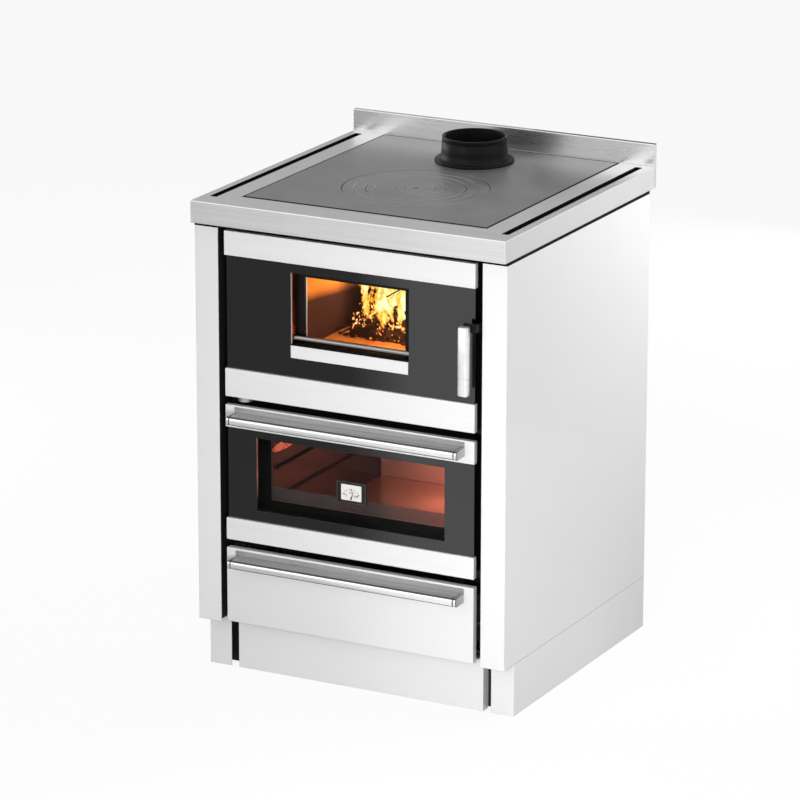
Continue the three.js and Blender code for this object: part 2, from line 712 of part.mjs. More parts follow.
// Folded steel strip across a door, open at the back.
function doorStrip(bottom, top) {
  return foldedPan(skinSpace(bottom, top));
}

// Sheet folded back all round, with rounded edges in front.
function foldedPan(outer) {
  const inner = grow(outer, -door.stripSheet);
  inner.y = [outer.y[0] + door.stripSheet, outer.y[1] + past];
  const whole = block({ ...outer, y: [outer.y[0], outer.y[1] + door.skin] }, door.stripRadius);
  return whole.intersect(block(outer)).subtract(block(inner));
}

// Black glass between the strips of a door with its window cut out.
function glassPanel(bottom, top, window) {
  const pane = { x: [-glassHalf, glassHalf], y: [glassFront, skinBack], z: [bottom, top] };
  return block(pane).subtract(block({ ...window, y: [door.face, skinBack + past] }));
}

// Rope seal on the back of a door, all round an opening.
function ropeSeal(opening) {
  const inner = { ...grow(opening, door.sealMargin, 'xz'), y: [doorBack - fitGap, frameFront - fitGap] };
  const outer = grow(inner, door.sealWidth, 'xz');
  return ring(outer, inner, 'y');
}

// Outline of a pull bar in (y, z): flat at the door, rounded in front.
function barOutline(back, depth, bottom, height, radius) {
  const front = back - depth;
  const outline = new THREE.Shape();
  outline.moveTo(back, bottom);
  outline.lineTo(back, bottom + height);
  outline.lineTo(front + radius, bottom + height);
  outline.absarc(front + radius, bottom + height - radius, radius, Math.PI / 2, Math.PI, false);
  outline.absarc(front + radius, bottom + radius, radius, Math.PI, Math.PI * 1.5, false);
  outline.closePath();
  return outline;
}

// Hollow pull bar across a door, without its end caps.
function barTube(bottom) {
  const { depth, height, cornerRadius, wall, cap, length } = pullBar;
  const half = length / 2 - cap - fitGap;
  const outer = stretchedX(barOutline(door.face, depth, bottom, height, cornerRadius), -half, half);
  const inside = { depth: depth - 2 * wall, height: height - 2 * wall };
  const bore = barOutline(door.face - wall, inside.depth, bottom + wall, inside.height, cornerRadius - wall);
  return outer.subtract(stretchedX(bore, -half - past, half + past));
}

function barCap(side, bottom) {
  const { depth, height, cornerRadius, cap, length } = pullBar;
  const ends = onSide(side, length / 2 - cap, length / 2);
  return stretchedX(barOutline(door.face, depth, bottom, height, cornerRadius), ...ends);
}

// ---------------------------------------------------------------- fire door

const paneSpace = {
  x: grow(fireWindow, -fireDoor.innerMargin, 'x').x,
  z: [fireWindow.z[0] + fireDoor.innerBottom, fireWindow.z[1] - fireDoor.innerTop],
};
const fireFrameX = [-doorHalf + fireDoor.frameLeft, doorHalf - fireDoor.frameRight];
const plateFront = skinBack + fireDoor.plateRecess;
const plateBack = plateFront + fireDoor.plate;
const leverX = [doorHalf + latch.armGap, doorHalf + latch.armGap + latch.armPlate];
const latchPinX = [leverX[1] - latch.pinLength, leverX[1]];

// Cast frame: outer wall, a plate with the window, a surround up to the glass, a rib that
// carries the rope seal, bosses for the two hinge pins and a block for the latch pin.
function fireFrame() {
  const outer = { x: fireFrameX, y: [skinBack, doorBack - 2 * fitGap], z: [fireDoorBottom, fireDoorTop] };
  const wall = ring(outer, grow(outer, -fireDoor.wall, 'xz'), 'y');
  const plate = ring({ ...outer, y: [plateFront, plateBack] }, paneSpace, 'y');
  const reveal = { ...fireWindow, y: [skinBack, plateFront + past] };
  const surround = ring(grow(reveal, fireDoor.surround, 'xz'), reveal, 'y');
  const sealInner = { ...grow(fireOpening, door.sealMargin, 'xz'), y: [plateFront + past, outer.y[1]] };
  const sealRib = ring(grow(sealInner, door.sealWidth, 'xz'), sealInner, 'y');
  let frame = union(wall, plate, surround, sealRib);

  const axis = [fireHinge.x, fireHinge.y];
  for (const low of [fireDoorBottom, fireDoorTop - hingePin.reach]) {
    const high = low + hingePin.reach;
    const web = {
      x: [fireFrameX[0], fireHinge.x + fireDoor.hingeBoss],
      y: [fireHinge.y, plateFront + past],
      z: [low, high],
    };
    frame = union(frame, rod('z', fireDoor.hingeBoss, low, high, axis), block(web));
    frame = frame.subtract(rod('z', hingePin.radius + fitGap, low - past, high + past, axis));
  }
  const pinBlock = {
    x: [latchPinX[0], fireFrameX[1]],
    y: [skinBack, latchPivot.y + latch.eyeRadius],
    z: around(latchPivot.z, latch.eyeRadius),
  };
  const bore = [latchPinX[0] - past, fireFrameX[1] + past];
  const pinHole = rod('x', latch.pinRadius + fitGap, ...bore, [latchPivot.y, latchPivot.z]);
  return frame.add(block(pinBlock)).subtract(pinHole);
}

function firePane() {
  const front = plateBack + fitGap;
  return block({ ...grow(paneSpace, fireDoor.paneLap, 'xz'), y: [front, front + fireDoor.pane] });
}

// Folded steel sill along the bottom of the window recess.
function windowSill() {
  const x = grow(fireWindow, -fitGap, 'x').x;
  const bottom = fireWindow.z[0] + fitGap;
  const top = bottom + sill.height;
  const front = door.face + sill.frontDrop;
  const face = { x, y: [front, front + sill.sheet], z: [bottom, top] };
  const shelf = { x, y: [front, plateFront - fitGap], z: [top - sill.sheet, top] };
  return block(face, sill.edgeRadius).add(block(shelf));
}

// Round bar across the window in front of the pane.
function windowBar() {
  const x = grow(fireWindow, -fitGap, 'x').x;
  const axis = [door.face + guardBar.fromFace, fireWindow.z[0] + sill.height + guardBar.aboveSill];
  return rod('x', guardBar.radius, x[0], x[1], axis, rodSteps);
}

// Bracket on the front sheet that carries a hinge pin; the lower one has a thrust washer.
function fireHingeBracket(end) {
  const { radius, reach, endGap, washerRadius, washer, plate } = hingePin;
  const axis = [fireHinge.x, fireHinge.y];
  const lower = end === 'lower';
  const seat = lower ? fireDoorBottom - fitGap - washer : fireDoorTop + fitGap + plate;
  const arm = { x: around(fireHinge.x, washerRadius), y: [fireHinge.y, frameFront], z: [seat - plate, seat] };
  const pinEnds = lower
    ? [seat - past, fireDoorBottom + reach - endGap]
    : [fireDoorTop - reach + endGap, seat - past];
  const bracket = union(
    block(arm),
    rod('z', washerRadius, arm.z[0], arm.z[1], axis),
    rod('z', radius, ...pinEnds, axis),
  );
  return lower ? bracket.add(rod('z', washerRadius, seat - past, seat + washer, axis)) : bracket;
}

// ---------------------------------------------------------------- fire door latch

function latchBar() {
  const front = door.face - latch.standOff - latch.barDepth;
  return block({
    x: [doorHalf - latch.barWidth, doorHalf],
    y: [front, front + latch.barDepth],
    z: [latchPivot.z + latch.barAbovePivot - latch.barLength, latchPivot.z + latch.barAbovePivot],
  }, latch.barRadius);
}

// Dark lever beside the door: it carries the bar in front, turns on its pin and ends in a hook
// whose notch sits under the roller of the keeper.
function latchLever() {
  const { armHeight, eyeRadius, notch, tip, tail, tailChamfer, rollerRadius, rollerBack } = latch;
  const front = door.face - latch.standOff + fitGap;
  const low = latchPivot.z - armHeight / 2;
  const high = latchPivot.z + armHeight / 2;
  const rear = latchPivot.y + tail;
  const roller = latchPivot.y + rollerBack;
  const outline = new THREE.Shape();
  outline.moveTo(front, low);
  outline.lineTo(rear - tailChamfer, low);
  outline.lineTo(rear, low + tailChamfer);
  outline.lineTo(rear, high - tip);
  outline.lineTo(rear - tip, high);
  outline.lineTo(roller + rollerRadius - tip, high);
  outline.lineTo(roller + tip, high - notch);
  outline.lineTo(roller - rollerRadius, high - notch);
  outline.lineTo(front, high);
  outline.closePath();
  const neck = {
    x: [doorHalf - latch.barWidth + latch.neckInset, leverX[1]],
    y: [front, front + latch.neckDepth],
    z: [low, high],
  };
  const axis = [latchPivot.y, latchPivot.z];
  return union(
    stretchedX(outline, ...leverX),
    rod('x', eyeRadius, ...leverX, axis),
    rod('x', latch.pinRadius, ...latchPinX, axis),
    block(neck),
  );
}

// Keeper on the front sheet: a short arm with a round nose above the hook.
function latchKeeper() {
  const x = [leverX[0] - latch.keeperSide, leverX[1] + latch.keeperSide];
  const nose = latchPivot.z + latch.armHeight / 2 + fitGap + latch.rollerRadius;
  const y = latchPivot.y + latch.rollerBack;
  const arm = { x, y: [y - latch.keeperFront, frameFront], z: [nose, nose + 2 * latch.rollerRadius] };
  return block(arm).add(rod('x', latch.rollerRadius, ...x, [y, nose]));
}

// ---------------------------------------------------------------- oven door

const ovenFrameX = [-doorHalf + ovenDoor.frameInset, doorHalf - ovenDoor.frameInset];

// Folded inner door: outer wall, a back plate with the inner window, a surround between the two
// panes and a boss in each side for the hinge pins.
function ovenFrame() {
  const { frameSheet, frameTrim, backPlate, innerGlassLap, surround, hingeBoss, hingeBossLength } = ovenDoor;
  const outer = {
    x: ovenFrameX,
    y: [skinBack, doorBack - 2 * fitGap],
    z: [ovenDoorBottom + frameTrim, ovenDoorTop - frameTrim],
  };
  const wall = ring(outer, grow(outer, -frameSheet, 'xz'), 'y');
  const back = { ...outer, y: [outer.y[1] - backPlate, outer.y[1]] };
  const plate = ring(back, grow(ovenWindow, -innerGlassLap, 'xz'), 'y');
  const inner = { ...ovenWindow, y: [skinBack, innerPaneSpace().y[0] - fitGap] };
  const tube = ring(grow(inner, surround, 'xz'), inner, 'y');
  const stays = [-1, 1].map((side) => block({
    x: onSide(side, ovenWindow.x[1] + surround / 2, outer.x[1] - frameSheet / 2),
    y: [skinBack, skinBack + frameSheet],
    z: ovenWindow.z,
  }));
  let frame = union(wall, plate, tube, ...stays);
  const axis = [ovenHingeAxis.y, ovenHingeAxis.z];
  for (const side of [-1, 1]) {
    const boss = onSide(side, outer.x[1] - hingeBossLength, outer.x[1]);
    const bore = onSide(side, outer.x[1] - hingeBossLength - past, outer.x[1] + past);
    frame = frame.add(rod('x', hingeBoss, ...boss, axis));
    frame = frame.subtract(rod('x', ovenHinge.pinRadius + fitGap, ...bore, axis));
  }
  return frame;
}

// Limits of the oven door's inner glass, in front of the back plate.
function innerPaneSpace() {
  const back = doorBack - 2 * fitGap - ovenDoor.backPlate - fitGap;
  return { ...ovenWindow, y: [back - ovenDoor.innerGlass, back] };
}

// Framed dial that hangs behind the window pane.
function ovenThermometer() {
  const middle = (ovenWindow.z[0] + ovenWindow.z[1]) / 2 - thermometer.belowMiddle;
  const body = {
    x: around(0, thermometer.width / 2),
    y: [skinBack + fitGap, skinBack + fitGap + thermometer.depth],
    z: around(middle, thermometer.height / 2),
  };
  const face = { ...grow(body, -thermometer.rim, 'xz'), y: [skinBack, body.y[0] + thermometer.faceDrop] };
  return block(body, thermometer.edgeRadius).subtract(block(face));
}

// Hinge bracket beside the door: an eye plate with its pin and a link along the front sheet.
function ovenHingeBracket(side) {
  const { pinRadius, pinEndGap, plate, plateGap, eyeRadius, footSheet } = ovenHinge;
  const { linkWidth, linkOffset, linkDepth, linkHeight, linkBelowDoor } = ovenHinge;
  const axis = [ovenHingeAxis.y, ovenHingeAxis.z];
  const near = doorHalf + plateGap;
  const plateX = onSide(side, near, near + plate);
  const pinX = onSide(side, ovenFrameX[1] - ovenDoor.hingeBossLength + pinEndGap, near + plate);
  const footX = onSide(side, near - linkOffset - linkWidth, near + plate);
  const footY = [frameFront - footSheet, frameFront];
  const linkTop = ovenDoorBottom - linkBelowDoor;
  const linkZ = [linkTop - linkHeight, linkTop];
  return union(
    block({ x: plateX, y: [ovenHingeAxis.y, frameFront], z: around(ovenHingeAxis.z, eyeRadius) }),
    rod('x', eyeRadius, ...plateX, axis),
    rod('x', pinRadius, ...pinX, axis),
    block({ x: plateX, y: footY, z: [linkZ[0], ovenHingeAxis.z] }),
    block({ x: footX, y: footY, z: linkZ }),
    block({
      x: onSide(side, near - linkOffset - linkWidth, near - linkOffset),
      y: [frameFront - linkDepth, frameFront],
      z: linkZ,
    }),
  );
}

// ---------------------------------------------------------------- wood drawer

// Folded front panel, open at the back.
function drawerFront() {
  return foldedPan({ ...skinSpace(drawerBottom, drawerTop), y: [door.face, door.face + drawer.skin] });
}

const trayHalf = doorHalf - drawer.traySide;

// Open tray with a mounting plate inside the front panel and a rail down each side.
function drawerTray() {
  const front = door.face + drawer.skin;
  const bottom = drawerBottom + drawer.trayBottom;
  const outer = {
    x: [-trayHalf, trayHalf],
    y: [front, drawer.trayBack],
    z: [bottom, bottom + drawer.trayHeight],
  };
  const inner = { ...grow(outer, -drawer.sheet, 'xy'), z: [bottom + drawer.sheet, outer.z[1] + past] };
  const mount = grow(skinSpace(drawerBottom, drawerTop), -door.stripSheet - fitGap, 'xz');
  mount.y = [front - drawer.sheet, front + drawer.mountLap];
  let tray = block(outer).subtract(block(inner)).add(block(mount));
  const railBottom = drawerBottom + drawer.railHeight;
  for (const side of [-1, 1]) {
    tray = tray.add(block({
      x: onSide(side, trayHalf - drawer.sheet / 2, trayHalf + drawer.railWidth),
      y: [frameFront, drawer.trayBack],
      z: [railBottom, railBottom + drawer.railSheet],
    }));
  }
  return tray;
}

// Fixed angle that the drawer's rail runs on, with a tab behind the front sheet.
function drawerRunner(side) {
  const web = drawerOpening.x[1] - runner.sheet;
  const top = drawerBottom + drawer.railHeight - fitGap;
  const z = [top - runner.sheet, top - runner.sheet + runner.height];
  const y = [frameBack, runner.back];
  return union(
    block({ x: onSide(side, web - runner.wall, web + runner.sheet), y, z: [z[0], top] }),
    block({ x: onSide(side, web, web + runner.sheet), y, z }),
    block({ x: onSide(side, web, web + runner.tab), y: [frameBack, frameBack + runner.sheet], z }),
  );
}

// ---------------------------------------------------------------- assembly

const stove = new THREE.Group();

const carcass = new THREE.Group();
addPart(carcass, 'worktop_frame', worktopFrame(), brushedSteel());
addPart(carcass, 'backsplash', backUpstand(), brushedSteel());
addPart(carcass, 'cooktop_plate', hobPlate(), greyPlate());
addPart(carcass, 'flue_collar', flueCollar(), castIron());
for (const [name, side] of [['left', -1], ['right', 1]]) {
  addPart(carcass, `side_panel_${name}`, casingSide(side), whitePaint());
  addPart(carcass, `plinth_${name}`, plinthSide(side), whitePaint());
  addPart(carcass, `foot_front_${name}`, levellingFoot(side, foot.fromFront), rubber());
  addPart(carcass, `foot_rear_${name}`, levellingFoot(side, panelRear - foot.fromRear), rubber());
  addPart(carcass, `brick_${name}`, sideBrick(side), firebrick());
  addPart(carcass, `drawer_runner_${name}`, drawerRunner(side), galvanized());
  addPart(carcass, `oven_hinge_${name}`, ovenHingeBracket(side), galvanized());
}
addPart(carcass, 'plinth_front', plinthFront(), whitePaint());
addPart(carcass, 'back_panel', rearPanel(), galvanized());
addPart(carcass, 'base_plate', floorPlate(), blackSteel());
addPart(carcass, 'front_frame', innerFront(), blackSteel());
addPart(carcass, 'firebox_shell', fireboxShell(), blackSteel());
addPart(carcass, 'brick_back', backBrick(), firebrick());
addPart(carcass, 'hearth', hearthSlab(), firebrick());
addPart(carcass, 'grate', fireGrate(), castIron());
addPart(carcass, 'ash_pan', ashTray(), galvanized());
addPart(carcass, 'oven_box', ovenBox(), blackSteel());
addPart(carcass, 'oven_rack', wireRack(), galvanized());
addPart(carcass, 'fire_hinge_lower', fireHingeBracket('lower'), galvanized());
addPart(carcass, 'fire_hinge_upper', fireHingeBracket('upper'), galvanized());
addPart(carcass, 'latch_keeper', latchKeeper(), blackSteel());

const rings = new THREE.Group();
addPart(rings, 'hob_ring', hobRing(), greyPlate());
addPart(rings, 'hob_lid', hobLid(), greyPlate());

const fireLeaf = new THREE.Group();
const fireGlass = [fireDoorBottom + fireDoor.bottomStrip, fireDoorTop - fireDoor.topStrip];
addPart(fireLeaf, 'fire_door_frame', fireFrame(), castIron());
addPart(fireLeaf, 'fire_door_panel', glassPanel(...fireGlass, fireWindow), blackGlass());
addPart(fireLeaf, 'fire_door_glass', firePane(), clearGlass());
addPart(fireLeaf, 'fire_door_seal', ropeSeal(fireOpening), sealRope());
addPart(fireLeaf, 'fire_door_top_strip', doorStrip(fireGlass[1], fireDoorTop), brushedSteel());
addPart(fireLeaf, 'fire_door_bottom_strip', doorStrip(fireDoorBottom, fireGlass[0]), brushedSteel());
addPart(fireLeaf, 'fire_window_sill', windowSill(), brushedSteel());
addPart(fireLeaf, 'fire_window_bar', windowBar(), brushedSteel());
addPart(fireLeaf, 'fire_door_handle', latchBar(), brushedSteel());
addPart(fireLeaf, 'latch_lever', latchLever(), blackSteel());

const ovenLeaf = new THREE.Group();
const ovenGlass = [ovenDoorBottom + ovenDoor.bottomStrip, ovenDoorTop - ovenDoor.topStrip];
const ovenPane = { ...grow(ovenWindow, -fitGap, 'xz'), y: [glassFront, skinBack] };
const ovenBarBottom = ovenDoorTop - pullBar.dropOven - pullBar.height;
addPart(ovenLeaf, 'oven_door_frame', ovenFrame(), blackSteel());
addPart(ovenLeaf, 'oven_door_panel', glassPanel(...ovenGlass, ovenWindow), blackGlass());
addPart(ovenLeaf, 'oven_door_window', block(ovenPane), clearGlass());
addPart(ovenLeaf, 'oven_inner_glass', block(innerPaneSpace()), clearGlass());
addPart(ovenLeaf, 'oven_door_seal', ropeSeal(ovenOpening), sealRope());
addPart(ovenLeaf, 'oven_door_top_strip', doorStrip(ovenGlass[1], ovenDoorTop), brushedSteel());
addPart(ovenLeaf, 'oven_door_bottom_strip', doorStrip(ovenDoorBottom, ovenGlass[0]), brushedSteel());
addPart(ovenLeaf, 'oven_thermometer', ovenThermometer(), dialFace());
addPart(ovenLeaf, 'oven_handle', barTube(ovenBarBottom), brushedSteel());

const drawerBox = new THREE.Group();
const drawerBarBottom = drawerTop - pullBar.dropDrawer - pullBar.height;
addPart(drawerBox, 'drawer_front', drawerFront(), brushedSteel());
addPart(drawerBox, 'drawer_tray', drawerTray(), blackSteel());
addPart(drawerBox, 'drawer_handle', barTube(drawerBarBottom), brushedSteel());

for (const [name, side] of [['left', -1], ['right', 1]]) {
  addPart(ovenLeaf, `oven_handle_cap_${name}`, barCap(side, ovenBarBottom), brushedSteel());
  addPart(drawerBox, `drawer_handle_cap_${name}`, barCap(side, drawerBarBottom), brushedSteel());
}

stove.add(carcass, rings, fireLeaf, ovenLeaf, drawerBox);

// The origin is on the floor, midway between the front of the handles and the back of the upstand.
const handleFront = door.face - pullBar.depth;
stove.position.y = -(handleFront + cooker.depth) / 2;
stove.updateMatrixWorld(true);

export default stove;
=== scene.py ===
import math
import random
import bmesh
import bpy
from mathutils import Matrix, Vector, noise


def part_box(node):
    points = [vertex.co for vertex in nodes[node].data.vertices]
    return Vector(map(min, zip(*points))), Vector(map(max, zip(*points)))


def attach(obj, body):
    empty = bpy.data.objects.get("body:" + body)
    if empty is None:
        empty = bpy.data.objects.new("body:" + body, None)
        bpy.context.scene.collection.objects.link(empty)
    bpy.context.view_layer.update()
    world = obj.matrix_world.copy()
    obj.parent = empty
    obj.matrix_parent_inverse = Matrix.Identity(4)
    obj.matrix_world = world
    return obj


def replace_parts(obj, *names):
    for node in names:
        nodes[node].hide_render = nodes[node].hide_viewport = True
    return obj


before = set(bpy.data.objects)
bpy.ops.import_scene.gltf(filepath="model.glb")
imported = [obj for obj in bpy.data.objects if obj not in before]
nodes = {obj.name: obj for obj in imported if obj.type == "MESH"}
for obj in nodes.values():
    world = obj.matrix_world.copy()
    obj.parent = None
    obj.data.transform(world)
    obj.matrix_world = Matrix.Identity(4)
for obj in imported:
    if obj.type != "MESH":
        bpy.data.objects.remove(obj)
scene = bpy.context.scene
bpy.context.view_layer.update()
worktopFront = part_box("worktop_frame")[0].y
print("frame loaded,", len(nodes), "nodes")


# sizes below are in mm: x from the middle, y from the worktop's front edge, z from the floor
def at(x, y, z):
    return Vector((x / 1000, worktopFront + y / 1000, z / 1000))


# small helpers for the node graphs
def startMaterial(name):
    material = bpy.data.materials.new(name)
    material.use_nodes = True
    tree = material.node_tree
    return material, tree, tree.nodes["Principled BSDF"]


# each input is linked to a socket of the graph, or set to a plain value
def wire(tree, node, inputs):
    for key, value in inputs.items():
        if isinstance(value, bpy.types.NodeSocket):
            tree.links.new(value, node.inputs[key])
        else:
            node.inputs[key].default_value = value


def addNode(tree, kind, inputs=None, **settings):
    made = tree.nodes.new(kind)
    for key, value in settings.items():
        setattr(made, key, value)
    wire(tree, made, inputs or {})
    return made


# the material shows this shader in place of its first one
def showInstead(tree, first, surface):
    tree.links.new(surface, tree.nodes["Material Output"].inputs["Surface"])
    tree.nodes.remove(first)


def objectPoint(tree, scale=(1, 1, 1)):
    coords = addNode(tree, "ShaderNodeTexCoord")
    return addNode(tree, "ShaderNodeMapping", {"Vector": coords.outputs["Object"], "Scale": scale}).outputs[0]


def noiseOf(tree, point, scale, detail=4, roughness=0.55, distortion=0.0):
    return addNode(tree, "ShaderNodeTexNoise", {
        "Vector": point, "Scale": scale, "Detail": detail, "Roughness": roughness, "Distortion": distortion,
    }).outputs["Fac"]


# one number is a grey
def rgba(color):
    if isinstance(color, bpy.types.NodeSocket):
        return color
    return (color, color, color, 1) if isinstance(color, (int, float)) else (*color, 1)


def rampOf(tree, factor, stops):
    made = addNode(tree, "ShaderNodeValToRGB", {"Fac": factor})
    elements = made.color_ramp.elements
    elements.remove(elements[1])
    elements[0].position = stops[0][0]
    for index, (place, color) in enumerate(stops):
        element = elements[0] if index == 0 else elements.new(place)
        element.color = rgba(color)
    return made.outputs["Color"]


def rangeOf(tree, value, low, high, outLow, outHigh):
    return addNode(tree, "ShaderNodeMapRange", {
        "Value": value, "From Min": low, "From Max": high, "To Min": outLow, "To Max": outHigh,
    }).outputs["Result"]


def mathOf(tree, operation, a, b):
    return addNode(tree, "ShaderNodeMath", {0: a, 1: b}, operation=operation).outputs[0]


def mixColor(tree, factor, a, b):
    return addNode(tree, "ShaderNodeMix", {0: factor, 6: rgba(a), 7: rgba(b)}, data_type="RGBA").outputs[2]


def mixShader(tree, factor, a, b):
    return addNode(tree, "ShaderNodeMixShader", {0: factor, 1: a, 2: b}).outputs[0]


def bumpOf(tree, height, strength, distance, edge=0.0):
    inputs = {"Height": height, "Strength": strength, "Distance": distance}
    if edge:
        inputs["Normal"] = addNode(tree, "ShaderNodeBevel", {"Radius": edge}, samples=4).outputs[0]
    return addNode(tree, "ShaderNodeBump", inputs).outputs[0]


def sumOf(tree, a, b, share):
    return mathOf(tree, "ADD", mathOf(tree, "MULTIPLY", a, share), mathOf(tree, "MULTIPLY", b, 1 - share))


def tonesOf(tree, value, look, low=0.3, high=0.7):
    return rampOf(tree, value, [(low, look["dark"]), (high, look["light"])])


def roughnessOf(tree, value, look, low=0.3, high=0.7):
    return rangeOf(tree, value, low, high, look["smooth"], look["rough"])


# finishes, each one made from a dictionary of its own
def brushedSteel(name, look):
    material, tree, shader = startMaterial(name)
    scale = [look["across"]] * 3
    scale["xyz".index(look["grain"])] = look["along"]
    fine = noiseOf(tree, objectPoint(tree, scale), 1, 5, 0.65)
    both = sumOf(tree, fine, noiseOf(tree, objectPoint(tree), look["cloud"], 3), 0.7)
    wire(tree, shader, {
        "Base Color": tonesOf(tree, both, look), "Roughness": roughnessOf(tree, both, look),
        "Normal": bumpOf(tree, fine, look["bump"], 0.0003, look["edge"]), "Metallic": look["metal"],
    })
    return material


def gloss(name, look):
    material, tree, shader = startMaterial(name)
    point = objectPoint(tree)
    cloud, smear = noiseOf(tree, point, 5), noiseOf(tree, point, 60)
    peel = noiseOf(tree, point, look["peelScale"], 2)
    wire(tree, shader, {
        "Base Color": tonesOf(tree, cloud, look), "Roughness": roughnessOf(tree, smear, look),
        "Normal": bumpOf(tree, peel, look["peel"], 0.0002, look["edge"]),
        "Metallic": look["metal"], "Coat Weight": look["coat"], "Coat Roughness": 0.08,
    })
    return material


def rawIron(name, look):
    material, tree, shader = startMaterial(name)
    point = objectPoint(tree)
    sand = noiseOf(tree, point, look["sand"], 6, 0.7)
    both = sumOf(tree, sand, noiseOf(tree, point, look["cloud"], 5, 0.6), 0.4)
    wire(tree, shader, {
        "Base Color": tonesOf(tree, both, look, 0.32, 0.68), "Roughness": roughnessOf(tree, both, look),
        "Normal": bumpOf(tree, sand, look["bump"], 0.0006, look["edge"]),
        "Metallic": look["metal"], "Specular IOR Level": look["sheen"],
    })
    return material


def spangled(name, look):
    material, tree, shader = startMaterial(name)
    point = objectPoint(tree)
    flakes = addNode(tree, "ShaderNodeTexVoronoi", {"Vector": point, "Scale": look["spangle"]}).outputs["Color"]
    flake = addNode(tree, "ShaderNodeSeparateColor", {"Color": flakes}).outputs[0]
    dust = noiseOf(tree, point, look["dust"], 5)
    both = sumOf(tree, flake, dust, 0.5)
    wire(tree, shader, {
        "Base Color": tonesOf(tree, both, look, 0.25, 0.75), "Roughness": roughnessOf(tree, both, look, 0.2, 0.8),
        "Normal": bumpOf(tree, dust, look["bump"], 0.0003, look["edge"]), "Metallic": look["metal"],
    })
    return material


def darkGlass(name, look):
    material, tree, shader = startMaterial(name)
    point = objectPoint(tree)
    haze, smear = noiseOf(tree, point, 7), noiseOf(tree, point, 38, 5)
    wire(tree, shader, {
        "Base Color": tonesOf(tree, haze, look), "Roughness": roughnessOf(tree, smear, look, 0.35),
        "Normal": bumpOf(tree, haze, 0.04, 0.0004, look["edge"]), "IOR": look["ior"],
    })
    return material


def seeThrough(name, look):
    material, tree, shader = startMaterial(name)
    smoke = noiseOf(tree, objectPoint(tree), look["smokeScale"], 5, 0.6)
    wire(tree, shader, {
        "Base Color": rampOf(tree, smoke, [(0.35, look["tint"]), (0.75, look["smoky"])]),
        "Roughness": rangeOf(tree, smoke, 0.3, 0.8, 0.0, look["haze"]),
        "Normal": bumpOf(tree, smoke, 0.02, 0.0002), "Transmission Weight": 1, "IOR": look["ior"],
    })
    return material


# a lower tone under a ragged, tilted line and clay above it; on the firebricks the near-black lower tone is a painted
# shadow below the lit clay
def firebrick(name, look):
    material, tree, shader = startMaterial(name)
    point = objectPoint(tree)
    apart = addNode(tree, "ShaderNodeSeparateXYZ", {"Vector": point}).outputs
    pits, cloud = noiseOf(tree, point, 130, 7, 0.7), noiseOf(tree, point, 9, 5, 0.6)
    deeper = mathOf(tree, "MULTIPLY", mathOf(tree, "ADD", apart["Y"], look["front"]), look["tilt"])
    ragged = mathOf(tree, "MULTIPLY", mathOf(tree, "SUBTRACT", cloud, 0.5), look["ragged"])
    line = mathOf(tree, "ADD", mathOf(tree, "ADD", apart["Z"], deeper), ragged)
    lowerShare = rangeOf(tree, line, look["lineHeight"], look["lineHeight"] + look["lineFade"], 1, 0)
    clay = rampOf(tree, sumOf(tree, pits, cloud, 0.5), [(0.3, look["clayDark"]), (0.7, look["clayLight"])])
    lowerColor = rampOf(tree, cloud, [(0.3, look["lowerDark"]), (0.7, look["lowerLight"])])
    wire(tree, shader, {
        "Base Color": mixColor(tree, lowerShare, clay, lowerColor),
        "Roughness": rangeOf(tree, pits, 0.3, 0.7, 0.82, 0.95),
        "Normal": bumpOf(tree, pits, 0.5, 0.0015, 0.0015),
    })
    return material


def ropeWeave(name, look):
    material, tree, shader = startMaterial(name)
    strands = addNode(tree, "ShaderNodeTexWave", {
        "Vector": objectPoint(tree, (1, 0.6, 1)), "Scale": look["pitch"], "Distortion": 1.2,
        "Detail": 3, "Detail Scale": 6,
    }, bands_direction="DIAGONAL").outputs["Fac"]
    fuzz = noiseOf(tree, objectPoint(tree), look["fuzz"], 5)
    both = sumOf(tree, strands, fuzz, 0.7)
    wire(tree, shader, {
        "Base Color": tonesOf(tree, both, look, 0.2, 0.9), "Roughness": roughnessOf(tree, fuzz, look),
        "Normal": bumpOf(tree, both, look["bump"], 0.0012),
    })
    return material


# paint that may shine a little by itself
def flatPaint(name, look):
    material, tree, shader = startMaterial(name)
    speck = noiseOf(tree, objectPoint(tree), look["grain"])
    color = tonesOf(tree, speck, look)
    wire(tree, shader, {
        "Base Color": color, "Roughness": roughnessOf(tree, speck, look),
        "Emission Color": color, "Emission Strength": look["lit"],
    })
    return material


steelStrip = brushedSteel("satinSteelStrip", {
    "dark": 0.87, "light": 0.95, "grain": "x", "along": 3, "across": 700, "cloud": 3,
    "smooth": 0.36, "rough": 0.46, "bump": 0.06, "edge": 0.0008, "metal": 0.32,
})
steelTop = brushedSteel("satinSteelWorktop", {
    "dark": (0.77, 0.77, 0.772), "light": 0.93, "grain": "x", "along": 3, "across": 520, "cloud": 3,
    "smooth": 0.3, "rough": 0.42, "bump": 0.07, "edge": 0.0012, "metal": 0.8,
})
steelGrip = brushedSteel("satinSteelGrip", {
    "dark": 0.8, "light": 0.92, "grain": "z", "along": 8, "across": 620, "cloud": 9,
    "smooth": 0.24, "rough": 0.36, "bump": 0.06, "edge": 0.0006, "metal": 0.6,
})
steelUpstand = brushedSteel("satinSteelUpstand", {
    "dark": 0.7, "light": 0.82, "grain": "x", "along": 7, "across": 520, "cloud": 8,
    "smooth": 0.24, "rough": 0.34, "bump": 0.05, "edge": 0.0006, "metal": 0.85,
})
barFace = brushedSteel("pullBarFace", {
    "dark": 0.82, "light": 0.93, "grain": "x", "along": 5, "across": 620, "cloud": 6,
    "smooth": 0.22, "rough": 0.34, "bump": 0.05, "edge": 0.0006, "metal": 0.6,
})
